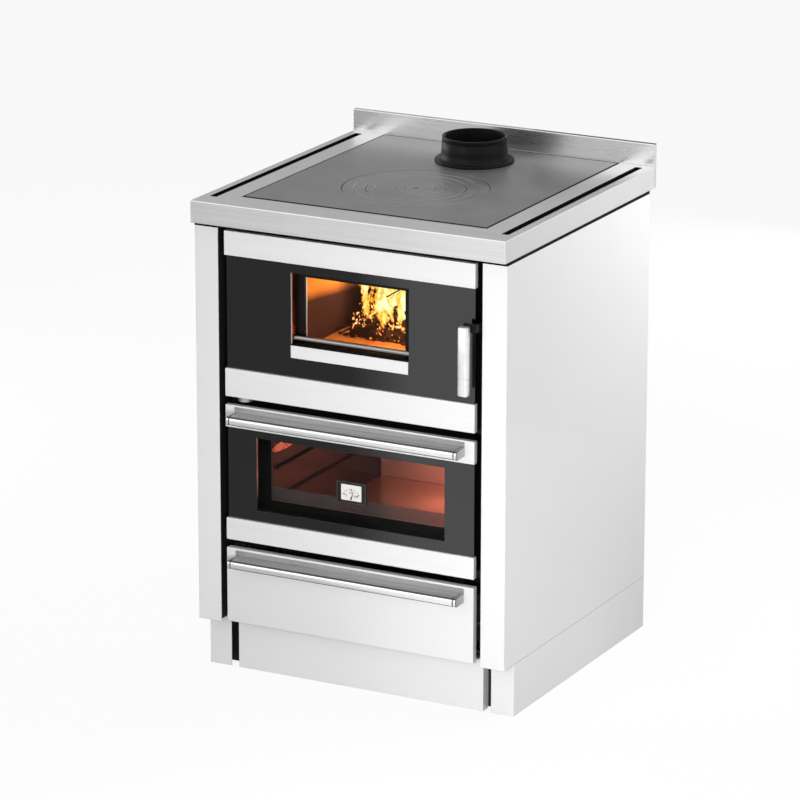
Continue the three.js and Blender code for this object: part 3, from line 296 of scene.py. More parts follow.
# the darker top finish of the pull bars is painted shade, and the near-black edge finish below it is a painted dark
# reflection
barTopShade = brushedSteel("pullBarTopPaintedShade", {
    "dark": (0.36, 0.36, 0.362), "light": 0.58, "grain": "x", "along": 14, "across": 480, "cloud": 8,
    "smooth": 0.3, "rough": 0.45, "bump": 0.12, "edge": 0.0006, "metal": 0.85,
})
barEdgeShade = brushedSteel("pullBarEdgePaintedShade", {
    "dark": 0.05, "light": 0.1, "grain": "x", "along": 14, "across": 480, "cloud": 8,
    "smooth": 0.35, "rough": 0.5, "bump": 0.08, "edge": 0.0004, "metal": 0.6,
})
guardSteel = brushedSteel("heatDulledSteel", {
    "dark": (0.2, 0.19, 0.19), "light": (0.34, 0.32, 0.31), "grain": "x", "along": 9, "across": 300, "cloud": 12,
    "smooth": 0.12, "rough": 0.22, "bump": 0.03, "edge": 0.0005, "metal": 1.0,
})
# the orange-brown tint of this mirror steel is painted light, the fire's glow on the window's side strip
glowTintedSteel = brushedSteel("steelWithPaintedGlow", {
    "dark": (0.2, 0.075, 0.03), "light": (0.4, 0.18, 0.08), "grain": "z", "along": 9, "across": 300, "cloud": 12,
    "smooth": 0.14, "rough": 0.26, "bump": 0.03, "edge": 0.0005, "metal": 1.0,
})
whitePaint = gloss("whiteEnamelPaint", {
    "dark": 0.82, "light": 0.84, "smooth": 0.3, "rough": 0.38,
    "peel": 0.02, "peelScale": 160, "coat": 0.25, "edge": 0.0012, "metal": 0.0,
})
drawerWhite = gloss("whiteDrawerFront", {
    "dark": 0.83, "light": 0.86, "smooth": 0.34, "rough": 0.42,
    "peel": 0.02, "peelScale": 200, "coat": 0.1, "edge": 0.0009, "metal": 0.2,
})
blackEnamel = gloss("blackEnamel", {
    "dark": (0.008, 0.008, 0.009), "light": (0.016, 0.015, 0.015), "smooth": 0.4, "rough": 0.6,
    "peel": 0.04, "peelScale": 260, "coat": 0.1, "edge": 0.0008, "metal": 0.0,
})
ovenEnamel = gloss("slateOvenEnamel", {
    "dark": (0.027, 0.036, 0.046), "light": (0.036, 0.046, 0.058), "smooth": 0.2, "rough": 0.24,
    "peel": 0.004, "peelScale": 150, "coat": 0.3, "edge": 0.0012, "metal": 0.3,
})
# half a mirror, so that the window shows one glow down to its lower edge
ovenFloor = gloss("claretOvenFloor", {
    "dark": (0.84, 0.55, 0.47), "light": (0.92, 0.63, 0.55), "smooth": 0.05, "rough": 0.1,
    "peel": 0.0, "peelScale": 90, "coat": 0.0, "edge": 0.0012, "metal": 0.65,
})
ovenBackEnamel = gloss("claretOvenBack", {
    "dark": (0.84, 0.49, 0.43), "light": (0.94, 0.56, 0.49), "smooth": 0.35, "rough": 0.5,
    "peel": 0.02, "peelScale": 150, "coat": 0.1, "edge": 0.0012, "metal": 0.0,
})
hobGrey = rawIron("groundHobPlate", {
    "dark": (0.28, 0.28, 0.282), "light": (0.37, 0.37, 0.372), "sand": 900, "cloud": 14,
    "smooth": 0.3, "rough": 0.44, "bump": 0.14, "edge": 0.0006, "metal": 0.6, "sheen": 0.5,
})
blackIron = rawIron("blackenedCastIron", {
    "dark": (0.0035, 0.0035, 0.0037), "light": (0.009, 0.009, 0.0094), "sand": 700, "cloud": 30,
    "smooth": 0.3, "rough": 0.45, "bump": 0.22, "edge": 0.001, "metal": 0.0, "sheen": 0.14,
})
sootySteel = rawIron("sootySteel", {
    "dark": (0.008, 0.007, 0.007), "light": (0.035, 0.03, 0.027), "sand": 260, "cloud": 18,
    "smooth": 0.6, "rough": 0.85, "bump": 0.3, "edge": 0.0008, "metal": 0.3, "sheen": 0.4,
})
matBlack = rawIron("mattBlackPaint", {
    "dark": 0.003, "light": 0.008, "sand": 600, "cloud": 20,
    "smooth": 0.7, "rough": 0.9, "bump": 0.03, "edge": 0.0004, "metal": 0.0, "sheen": 0.15,
})
footRubber = rawIron("footRubber", {
    "dark": 0.012, "light": 0.03, "sand": 500, "cloud": 40,
    "smooth": 0.7, "rough": 0.9, "bump": 0.2, "edge": 0.0008, "metal": 0.0, "sheen": 0.4,
})
zinc = spangled("galvanizedZinc", {
    "dark": (0.34, 0.35, 0.36), "light": (0.56, 0.57, 0.58), "spangle": 90, "dust": 25,
    "smooth": 0.34, "rough": 0.55, "bump": 0.15, "edge": 0.0006, "metal": 0.85,
})
doorGlass = darkGlass("blackDoorGlass", {
    "dark": (0.003, 0.003, 0.0032), "light": (0.005, 0.005, 0.0053), "smooth": 0.02, "rough": 0.05,
    "edge": 0.0006, "ior": 1.7,
})
clearPane = seeThrough("clearFirePane", {
    "tint": (1.0, 0.985, 0.96), "smoky": (0.95, 0.9, 0.84), "smokeScale": 11, "haze": 0.03, "ior": 1.12,
})
smokedPane = seeThrough("smokedOvenPane", {
    "tint": (0.93, 0.92, 0.91), "smoky": (0.88, 0.865, 0.85), "smokeScale": 8, "haze": 0.01, "ior": 1.12,
})
# the near-black tone under the tilted line is a painted shadow; the clay above it stands lit
brickWithPaintedShadow = firebrick("firebrickWithPaintedShadow", {
    "clayDark": (0.4, 0.17, 0.055), "clayLight": (0.66, 0.31, 0.1),
    "lowerDark": (0.02, 0.01, 0.02), "lowerLight": (0.046, 0.026, 0.045),
    "lineHeight": 0.668, "lineFade": 0.022, "front": 0.19, "tilt": 0.085, "ragged": 0.012,
})
hearthClay = firebrick("hearthClay", {
    "clayDark": (0.3, 0.15, 0.09), "clayLight": (0.5, 0.3, 0.19),
    "lowerDark": (0.3, 0.12, 0.06), "lowerLight": (0.55, 0.28, 0.15),
    "lineHeight": 0.6, "lineFade": 0.006, "front": 0.19, "tilt": 0.0, "ragged": 0.012,
})
sealRope = ropeWeave("wovenSealRope", {
    "dark": (0.03, 0.03, 0.029), "light": (0.13, 0.128, 0.12), "pitch": 130, "fuzz": 700,
    "smooth": 0.85, "rough": 1.0, "bump": 0.8,
})
# the dial face shines a little by itself (lit): painted light that brightens it in the shade behind the glass
dialWhitePaintedGlow = flatPaint("dialWhitePaintedGlow", {
    "dark": (0.9, 0.9, 0.89), "light": (0.95, 0.95, 0.94), "grain": 350, "smooth": 0.4, "rough": 0.55, "lit": 0.45,
})
dialInk = flatPaint("dialInk", {
    "dark": 0.01, "light": 0.025, "grain": 350, "smooth": 0.5, "rough": 0.65, "lit": 0.0,
})
dialRed = flatPaint("dialRed", {
    "dark": (0.3, 0.02, 0.015), "light": (0.4, 0.03, 0.02), "grain": 350, "smooth": 0.4, "rough": 0.55, "lit": 0.0,
})
dullBead = flatPaint("dullBead", {
    "dark": (0.1, 0.095, 0.09), "light": (0.16, 0.15, 0.145), "grain": 350, "smooth": 0.4, "rough": 0.55, "lit": 0.0,
})
# the lens's red glow is painted light: it shines with no lamp behind it
lensPaintedGlow = flatPaint("lensWithPaintedGlow", {
    "dark": (0.5, 0.03, 0.015), "light": (0.95, 0.26, 0.16), "grain": 160, "smooth": 0.2, "rough": 0.35, "lit": 0.55,
})
hotAsh = flatPaint("hotAsh", {
    "dark": (0.26, 0.08, 0.04), "light": (0.52, 0.29, 0.13), "grain": 26, "smooth": 0.45, "rough": 0.6, "lit": 0.05,
})
sparkGlow = flatPaint("sparkGlow", {
    "dark": (0.9, 0.26, 0.05), "light": (1.0, 0.74, 0.36), "grain": 90, "smooth": 0.6, "rough": 0.75, "lit": 1.1,
})
print("finishes made")

dressing = {
    steelTop: ["worktop_frame"],
    steelUpstand: ["backsplash"],
    steelStrip: [
        "fire_door_top_strip", "fire_door_bottom_strip", "oven_door_top_strip", "oven_door_bottom_strip",
        "fire_window_sill",
    ],
    drawerWhite: ["drawer_front"],
    guardSteel: ["fire_window_bar"],
    whitePaint: ["side_panel_left", "side_panel_right", "plinth_left", "plinth_right", "plinth_front"],
    blackEnamel: ["front_frame", "base_plate"],
    ovenEnamel: ["oven_box"],
    sootySteel: ["firebox_shell"],
    blackIron: [
        "fire_door_frame", "oven_door_frame", "grate", "latch_lever", "latch_keeper",
        "oven_hinge_left", "oven_hinge_right", "fire_hinge_upper",
    ],
    zinc: [
        "back_panel", "ash_pan", "oven_rack", "drawer_runner_left", "drawer_runner_right",
        "fire_hinge_lower", "drawer_tray",
    ],
    doorGlass: ["fire_door_panel", "oven_door_panel"],
    clearPane: ["fire_door_glass"],
    smokedPane: ["oven_door_window", "oven_inner_glass"],
    brickWithPaintedShadow: ["brick_left", "brick_right", "brick_back"],
    hearthClay: ["hearth"],
    footRubber: ["foot_front_left", "foot_front_right", "foot_rear_left", "foot_rear_right"],
}
for finish, names in dressing.items():
    for name in names:
        for place in nodes[name].material_slots:
            place.material = finish
print("CAD nodes dressed")


def addObject(name, shape, finish=None):
    mesh = bpy.data.meshes.new(name)
    shape.to_mesh(mesh)
    shape.free()
    if finish:
        mesh.materials.append(finish)
    made = bpy.data.objects.new(name, mesh)
    scene.collection.objects.link(made)
    return made


def smoothFaces(mesh, angle):
    mesh.polygons.foreach_set("use_smooth", [True] * len(mesh.polygons))
    mesh.set_sharp_from_angle(angle=math.radians(angle))


# every piece below is added through this one
def addPiece(name, shape, finish, body, smoothAngle=35):
    piece = addObject(name, shape, finish)
    smoothFaces(piece.data, smoothAngle)
    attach(piece, body)
    return piece


def addBlock(shape, x, y, z, bevel, segments):
    made = bmesh.ops.create_cube(shape, size=1)["verts"]
    low, high = at(x[0], y[0], z[0]), at(x[1], y[1], z[1])
    for vertex in made:
        vertex.co = Vector(low[i] + (vertex.co[i] + 0.5) * (high[i] - low[i]) for i in range(3))
    if bevel:
        edges = list({edge for vertex in made for edge in vertex.link_edges})
        bmesh.ops.bevel(
            shape, geom=edges, offset=bevel / 1000, segments=segments, profile=0.5, affect="EDGES",
        )


# a piece of plain blocks, each one given by its x, y and z spans
def addBlocks(name, blocks, finish, body, bevel=0.0, segments=1):
    shape = bmesh.new()
    for x, y, z in blocks:
        addBlock(shape, x, y, z, bevel, segments)
    return addPiece(name, shape, finish, body)


# the four blocks round an opening
def frameBlocks(outer, inner, y):
    (x0, x1), (z0, z1) = outer
    (left, right), (low, high) = inner
    return [
        ((x0, x1), y, (z0, low)), ((x0, x1), y, (high, z1)),
        ((x0, left), y, (low, high)), ((right, x1), y, (low, high)),
    ]


# quads from each row of corners to the next; the last corner of a ring meets its first
def joinRows(shape, rows, ring=True):
    for first, second in zip(rows, rows[1:]):
        for i in range(len(first) if ring else len(first) - 1):
            j = (i + 1) % len(first)
            shape.faces.new([first[i], first[j], second[j], second[i]])


# a closed body through rings of places
def loftRings(rings):
    shape = bmesh.new()
    rows = [[shape.verts.new(place) for place in ring] for ring in rings]
    joinRows(shape, rows)
    shape.faces.new(rows[0])
    shape.faces.new(rows[-1])
    bmesh.ops.recalc_face_normals(shape, faces=shape.faces)
    return shape


# a closed (radius, height) outline turned about a standing axis
def turnOutline(outline, x, y, steps=160):
    shape = bmesh.new()
    turns = [2 * math.pi * i / steps for i in range(steps)]
    rings = []
    for radius, z in outline:
        rings.append([
            shape.verts.new(at(x + radius * math.cos(turn), y + radius * math.sin(turn), z))
            for turn in (turns if radius else turns[:1])
        ])
    for first, second in zip(rings, rings[1:] + rings[:1]):
        if len(first) == 1 and len(second) == 1:
            continue
        for i in range(steps):
            corners = [(first, i), (first, i + 1), (second, i + 1), (second, i)]
            shape.faces.new(list(dict.fromkeys(ring[k % len(ring)] for ring, k in corners)))
    bmesh.ops.recalc_face_normals(shape, faces=shape.faces)
    return shape


# a closed (y, z) profile carried along x through a list of stations (x, inset)
def sweepProfile(profile, stations):
    midY, midZ = (sum(point[k] for point in profile) / len(profile) for k in (0, 1))
    rings = []
    for x, inset in stations:
        rings.append([])
        for y, z in profile:
            away = Vector((y - midY, z - midZ))
            kept = away * max(0, 1 - inset / max(away.length, 0.001))
            rings[-1].append(at(x, midY + kept.x, midZ + kept.y))
    return loftRings(rings)


def arcPoints(centre, radius, start, end, steps):
    turns = [math.radians(start + (end - start) * i / steps) for i in range(steps + 1)]
    return [(centre[0] + radius * math.cos(turn), centre[1] + radius * math.sin(turn)) for turn in turns]


# the hob plate, its ring and lid, and the flue collar
hob = {
    "half": 232, "front": 66, "back": 585, "top": 850, "thick": 10, "edge": 1.2, "plateSharp": 30,
    "centre": (0, 258), "ring": 128, "lid": 87, "seat": 8, "seam": 1, "drop": 5, "play": 0.3,
    "grooves": [107, 70.5, 52.6, 35, 18], "grooveHalf": 1.2, "grooveFloor": 0.3, "grooveDepth": 1.1,
    "hook": 4.5, "hookDepth": 3.5, "hookEdge": 0.8, "flueCentre": (0, 483), "flueBore": 53,
}


def makeHobPlate():
    top, bottom = hob["top"], hob["top"] - hob["thick"]
    block = ((-hob["half"], hob["half"]), (hob["front"], hob["back"]), (bottom, top))
    plate = addBlocks("hobPlate", [block], hobGrey, "carcass")
    wide = hob["ring"] + hob["seam"]
    cuts = [
        (hob["centre"], wide, top - hob["drop"], top + 1),
        (hob["centre"], wide - hob["seat"], bottom - 1, top - 1),
        (hob["flueCentre"], hob["flueBore"], bottom - 1, top + 1),
    ]
    tools = []
    for (x, y), radius, low, high in cuts:
        cutter = turnOutline([(0, low), (radius, low), (radius, high), (0, high)], x, y)
        tools.append(addObject("hobCutter", cutter))
        modifier = plate.modifiers.new("hole", "BOOLEAN")
        modifier.object, modifier.operation, modifier.solver = tools[-1], "DIFFERENCE", "EXACT"
    rounding = plate.modifiers.new("eased edges", "BEVEL")
    rounding.width, rounding.segments, rounding.limit_method = hob["edge"] / 1000, 2, "ANGLE"
    bpy.context.view_layer.update()
    graph = bpy.context.evaluated_depsgraph_get()
    mesh = bpy.data.meshes.new_from_object(plate.evaluated_get(graph))
    plate.modifiers.clear()
    plate.data = mesh
    for tool in tools:
        bpy.data.objects.remove(tool)
    smoothFaces(mesh, hob["plateSharp"])
    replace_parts(plate, "cooktop_plate")


# turned grooves between two radii
def groovedTop(outerRadius, innerRadius):
    top, half, floor = hob["top"], hob["grooveHalf"], hob["grooveFloor"]
    low = top - hob["grooveDepth"]
    outline = []
    for radius in sorted(hob["grooves"], reverse=True):
        if innerRadius + half < radius < outerRadius - half:
            outline += [(radius + half, top), (radius + floor, low), (radius - floor, low), (radius - half, top)]
    return outline


def makeRingAndLid():
    top, bottom, ease = hob["top"], hob["top"] - hob["thick"], hob["edge"]
    step = top - hob["drop"]
    seat, inset = step + hob["play"], hob["seat"]
    ringEdge, lidEdge, hole = hob["ring"], hob["lid"], hob["lid"] + hob["seam"]
    hook, hookEdge, hookLow = hob["hook"], hob["hookEdge"], top - hob["hookDepth"]
    outline = [
        (hole - inset, bottom), (ringEdge - inset, bottom), (ringEdge - inset, seat),
        (ringEdge, seat), (ringEdge, top - ease), (ringEdge - ease, top),
    ] + groovedTop(ringEdge, hole) + [
        (hole + ease, top), (hole, top - ease), (hole, step), (hole - inset, step),
    ]
    ring = addPiece("hobRing", turnOutline(outline, *hob["centre"]), hobGrey, "ring")
    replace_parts(ring, "hob_ring")
    outline = [
        (0, bottom), (lidEdge - inset, bottom), (lidEdge - inset, seat),
        (lidEdge, seat), (lidEdge, top - ease), (lidEdge - ease, top),
    ] + groovedTop(lidEdge, hook) + [
        (hook + hookEdge, top), (hook, top - hookEdge), (hook, hookLow), (0, hookLow),
    ]
    lid = addPiece("hobLid", turnOutline(outline, *hob["centre"]), hobGrey, "lid")
    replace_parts(lid, "hob_lid")


collar = {
    "base": 850, "foot": 0.8, "flange": 70.5, "flangeTop": 855, "bead": 2.2, "ledge": 5, "sink": 0.6, "flareTop": 870,
    "outer": 58.5, "band": 888, "bandHalf": 0.6, "bandStep": 0.25, "bandDip": 0.4,
    "top": 57.5, "height": 896, "bore": 53, "lip": 1.2,
}


def makeFlueCollar():
    c = collar
    bore, top, lip, rim = c["bore"], c["top"], c["lip"], c["height"] - c["lip"]
    outline = [(bore, c["base"]), (c["flange"] - c["foot"], c["base"]), (c["flange"], c["base"] + c["foot"])]
    outline += arcPoints((c["flange"] - c["bead"], c["flangeTop"] - c["bead"]), c["bead"], 0, 90, 6)
    low = c["flangeTop"] - c["sink"]
    reach, rise = c["flange"] - c["ledge"] - c["outer"], c["flareTop"] - low
    for i in range(11):
        turn = math.pi / 2 * i / 10
        outline.append((c["outer"] + reach * (1 - math.sin(turn)), low + rise * (1 - math.cos(turn))))
    outline += [
        (top + c["bandStep"], c["band"] - c["bandHalf"]), (top - c["bandDip"], c["band"]),
        (top, c["band"] + c["bandHalf"]),
    ]
    outline += arcPoints((top - lip, rim), lip, 0, 90, 4) + arcPoints((bore + lip, rim), lip, 90, 180, 4)
    piece = addPiece("flueCollar", turnOutline(outline, *hob["flueCentre"]), blackIron, "carcass", 50)
    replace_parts(piece, "flue_collar")


seam = {
    "left": (-234.2, -231.8), "right": (230.6, 235.4), "front": (62, 69), "back": (584.7, 587.3), "z": (841, 850.3),
    "ease": 0.4,
}
ventDuct = {
    "x": (273, 284), "y": (43, 571), "z": (812, 847.8), "sheet": 0.7, "rim": 0.9, "rimZ": (848, 850.25),
}
# a black strip in the gap under the worktop, painted shadow
gapShadowStrip = {"side": (296.6, 298.9), "front": (11, 12.6), "x": (253, 298), "back": 574, "z": (804.6, 810.8)}


# a matt black strip in the seam round the hob plate: painted shade for the dark gap
def makeHobSeamShade():
    across, along = (seam["left"][0], seam["right"][1]), (seam["front"][1], seam["back"][0])
    blocks = [(across, seam["front"]), (across, seam["back"]), (seam["left"], along), (seam["right"], along)]
    blocks = [(x, y, seam["z"]) for x, y in blocks]
    addBlocks("hobSeamShade", blocks, matBlack, "carcass", seam["ease"])


# black walls under the long slots of the worktop
def makeVentDucts():
    y0, y1 = ventDuct["y"]
    blocks = []
    for side in (-1, 1):
        near, far = sorted(side * x for x in ventDuct["x"])
        for t, z in ((ventDuct["sheet"], ventDuct["z"]), (ventDuct["rim"], ventDuct["rimZ"])):
            blocks += [
                ((near - t, near), (y0 - t, y1 + t), z), ((far, far + t), (y0 - t, y1 + t), z),
                ((near, far), (y0 - t, y0), z), ((near, far), (y1, y1 + t), z),
            ]
    addBlocks("ventDucts", blocks, matBlack, "carcass")


# a matt black strip just under the worktop's edge: painted shadow for the dark gap line there
def makeGapShadowStrips():
    front, z = gapShadowStrip["front"], gapShadowStrip["z"]
    blocks = []
    for side in (-1, 1):
        long, short = (sorted(side * x for x in gapShadowStrip[key]) for key in ("side", "x"))
        blocks += [(long, (front[1], gapShadowStrip["back"]), z), (short, front, z)]
    addBlocks("worktopGapShadow", blocks, matBlack, "carcass")


makeHobPlate()
makeRingAndLid()
makeFlueCollar()
makeHobSeamShade()
makeVentDucts()
makeGapShadowStrips()
print("hob, flue collar and vents made")


# pull bars and the fire door's grip
pullBar = {
    "half": 222, "cap": 6, "front": -22, "door": 10, "height": 16.5, "nose": 7, "crown": 2, "joint": 1.0,
    "gap": 0.1, "end": 0.8, "under": 0.4, "flange": 0.8, "flangeHeight": 9.2, "shadePlateEase": 0.3,
    "flatSlope": 0.9, "edgeSlope": 0.58,
}


# the flat top of a bar gets a darker finish than its rounded face, a painted shade for the dark it mirrors, and the
# faces between its top and front get a near-black finish, a painted dark reflection line
def paintTopShade(piece):
    piece.data.materials.append(barTopShade)
    piece.data.materials.append(barEdgeShade)
    for face in piece.data.polygons:
        slope = max(abs(face.normal.x), abs(face.normal.z))
        if slope > pullBar["flatSlope"]:
            face.material_index = 1
        elif slope > pullBar["edgeSlope"]:
            face.material_index = 2


def makePullBar(name, bottom, body, tube, caps):
    p = pullBar
    door, crown, nose, joint, end = p["door"], p["crown"], p["nose"], p["joint"], p["end"]
    top, noseY, ends = bottom + p["height"], p["front"] + p["nose"], p["half"] - p["cap"]
    profile = [(door, bottom + p["under"]), (door, top - crown)]
    profile += arcPoints((door - crown, top - crown), crown, 0, 90, 4)[1:]
    profile += arcPoints((noseY, top - nose), nose, 90, 180, 12)
    profile += arcPoints((noseY, bottom + nose), nose, 180, 270, 12)
    stations = [(-ends, joint), (-ends + joint, 0), (ends - joint, 0), (ends, joint)]
    bar = addPiece(name, sweepProfile(profile, stations), barFace, body)
    paintTopShade(bar)
    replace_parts(bar, tube)
    for side, word, node in zip((-1, 1), ("CapLeft", "CapRight"), caps):
        near, far = ends + p["gap"], p["half"]
        stations = [(near, joint), (near + joint, 0), (far - end, 0), (far, end)]
        stations = [(side * x, inset) for x, inset in stations]
        cap = addPiece(name + word, sweepProfile(profile, stations), barFace, body)
        paintTopShade(cap)
        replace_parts(cap, node)
    # a dark plate, flange thick, on the door face above each bar: painted shade where the bar shades that face
    block = ((-p["half"], p["half"]), (door - p["flange"], door), (top - crown, top + p["flangeHeight"]))
    addBlocks(name + "ShadePlate", [block], barTopShade, body, p["shadePlateEase"])


grip = {
    "x": (221, 240), "y": (-20, -4), "z": (578, 698), "corner": 5, "end": 2.2, "endStep": 0.7,
    "joints": [597, 607.5], "jointHalf": 0.9, "jointDepth": 0.8,
}


def makeGrip():
    (x0, x1), (y0, y1), (z0, z1), r, end = grip["x"], grip["y"], grip["z"], grip["corner"], grip["end"]
    halfWide, halfDeep, midX, midY = (x1 - x0) / 2, (y1 - y0) / 2, (x0 + x1) / 2, (y0 + y1) / 2
    half, deep, step = grip["jointHalf"], grip["jointDepth"], grip["endStep"]
    outline = []
    for cx, cy, start in ((1, 1, 0), (-1, 1, 90), (-1, -1, 180), (1, -1, 270)):
        outline += arcPoints((cx * (halfWide - r), cy * (halfDeep - r)), r, start, start + 90, 6)
    levels = [(z0, end), (z0 + step, end * 0.4), (z0 + end, 0)]
    for joint in grip["joints"]:
        levels += [(joint - half, 0), (joint - half * 0.4, deep), (joint + half * 0.4, deep), (joint + half, 0)]
    levels += [(z1 - end, 0), (z1 - step, end * 0.4), (z1, end)]
    shape = loftRings([
        [at(midX + x * (1 - inset / halfWide), midY + y * (1 - inset / halfDeep), z) for x, y in outline]
        for z, inset in levels
    ])
    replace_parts(addPiece("fireDoorGrip", shape, steelGrip, "door_latch"), "fire_door_handle")


makePullBar("ovenPullBar", 465, "oven_door", "oven_handle", ("oven_handle_cap_left", "oven_handle_cap_right"))
makePullBar(
    "drawerPullBar", 205, "wood_drawer", "drawer_handle", ("drawer_handle_cap_left", "drawer_handle_cap_right"),
)
makeGrip()
print("handles made")


# the fire window's metal strips
liner = {
    "front": (-112.2, 18), "back": (-109.6, 33.4), "sheet": 0.8, "z": (616.2, 741.4),
    "bead": ((-96.4, -95.5), (38.5, 42.1), (617, 731.4)), "beadEase": 0.2,
    "edge": ((-112.9, -112.2), (15.4, 18), (616.2, 741.4)),
    # cover is the black plate on the sill's top, painted shade
    "cover": ((-112.6, 112.6), (13.6, 33.6), (614.5, 615.9)), "sillShadeEase": 0.3,
}


# a splayed strip down the left of the recess, a bead along the pane's edge, and a black plate on the sill's top,
# painted shade between the bar and the sill
def makeWindowStrips():
    (x0, y0), (x1, y1), t = liner["front"], liner["back"], liner["sheet"]
    section = [(x0, y0), (x0 + t, y0), (x1 + t, y1), (x1, y1)]
    shape = loftRings([[at(x, y, z) for x, y in section] for z in liner["z"]])
    addPiece("fireWindowReflector", shape, glowTintedSteel, "fire_door")
    beads = [liner["bead"], liner["edge"]]
    addBlocks("firePaneBead", beads, steelGrip, "fire_door", liner["beadEase"])
    addBlocks("fireSillShadePlate", [liner["cover"]], matBlack, "fire_door", liner["sillShadeEase"])


makeWindowStrips()


# rope seals, a twisted cord laid round the back of each door
seal = {
    "radius": 4.8, "y": 58.6, "strands": 3, "strandRadius": 2.6, "sides": 7, "pitch": 17, "corner": 9, "margin": 5,
    "step": 3.2,
}


def sealPath(x, z):
    corner, points, path = seal["corner"], [], []
    for right, upper, start in ((1, 1, 0), (0, 1, 90), (0, 0, 180), (1, 0, 270)):
        centre = (x[right] + corner * (1 - 2 * right), z[upper] + corner * (1 - 2 * upper))
        points += arcPoints(centre, corner, start, start + 90, 6)
    for (x0, z0), (x1, z1) in zip(points, points[1:] + points[:1]):
        count = max(1, round(math.dist((x0, z0), (x1, z1)) / seal["step"]))
        path += [(x0 + (x1 - x0) * i / count, z0 + (z1 - z0) * i / count) for i in range(count)]
    return path


def makeSeal(name, node, body):
    low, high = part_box(node)
    margin, sides, strandRadius = seal["margin"], seal["sides"], seal["strandRadius"]
    path = sealPath(*((low[k] * 1000 + margin, high[k] * 1000 - margin) for k in (0, 2)))
    total = sum(math.dist(a, b) for a, b in zip(path, path[1:] + path[:1]))
    turns = round(total / seal["pitch"])
    inward = Vector((0, 1, 0))
    shape = bmesh.new()
    for strand in range(seal["strands"]):
        rings, walked = [], 0.0
        for i, point in enumerate(path):
            before, after = path[i - 1], path[(i + 1) % len(path)]
            along = Vector((after[0] - before[0], 0, after[1] - before[1])).normalized()
            side = along.cross(inward)
            angle = 2 * math.pi * (strand / seal["strands"] + turns * walked / total)
            twist = side * math.cos(angle) + inward * math.sin(angle)
            centre = Vector((point[0], seal["y"], point[1])) + twist * (seal["radius"] - strandRadius)
            rings.append([])
            for k in range(sides):
                turn = 2 * math.pi * k / sides
                away = side * math.cos(turn) + inward * math.sin(turn)
                rings[-1].append(shape.verts.new(at(*(centre + away * strandRadius))))
            walked += math.dist(point, after)
        joinRows(shape, rings + rings[:1])
    bmesh.ops.recalc_face_normals(shape, faces=shape.faces)
    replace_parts(addPiece(name, shape, sealRope, body, 180), node)


makeSeal("fireDoorRope", "fire_door_seal", "fire_door")
makeSeal("ovenDoorRope", "oven_door_seal", "oven_door")
print("window strips and seals made")


# thermometer behind the oven window
dial = {
    "x": (-28, 28), "z": (346, 384), "y": 20.3, "rim": 1.1, "side": 8.5, "below": 5, "above": 5,
    # how far each layer lies behind the front
    "layers": {
        "plate": (1.2, 6), "rim": (0.2, 1.6), "face": (0.5, 1.6), "marks": (0.3, 0.6), "needle": (0.05, 0.3),
        "numbers": (0.35,),
    },
    "plateEase": 0.6, "rimEase": 0.2, "faceEase": 0.3,
    "centre": (0, 354.5), "radius": 18, "low": 152, "high": 28,
    "marks": 9, "longEvery": 4, "longMark": (4.2, 0.9), "shortMark": (2.2, 0.5),
    "reading": 200, "full": 300, "needleHalf": 1.6, "needleTail": 2, "needleShort": 3.5,
    "numbers": ("0", "150", "300"), "numberSize": 0.006, "numberThick": 0.0001, "numberInset": 7.6,
}


def dialLayer(key):
    return tuple(dial["y"] + depth for depth in dial["layers"][key])


# the directions out from and across the dial's centre, at a share of its scale
def dialWays(share):
    angle = math.radians(dial["low"] + (dial["high"] - dial["low"]) * share)
    return Vector((math.cos(angle), math.sin(angle))), Vector((-math.sin(angle), math.cos(angle)))


# a thin plate with its (x, z) outline between two depths
def addPlate(shape, outline, depths):
    front, back = ([shape.verts.new(at(x, y, z)) for x, z in outline] for y in depths)
    shape.faces.new(front)
    shape.faces.new(back)
    joinRows(shape, [front, back])


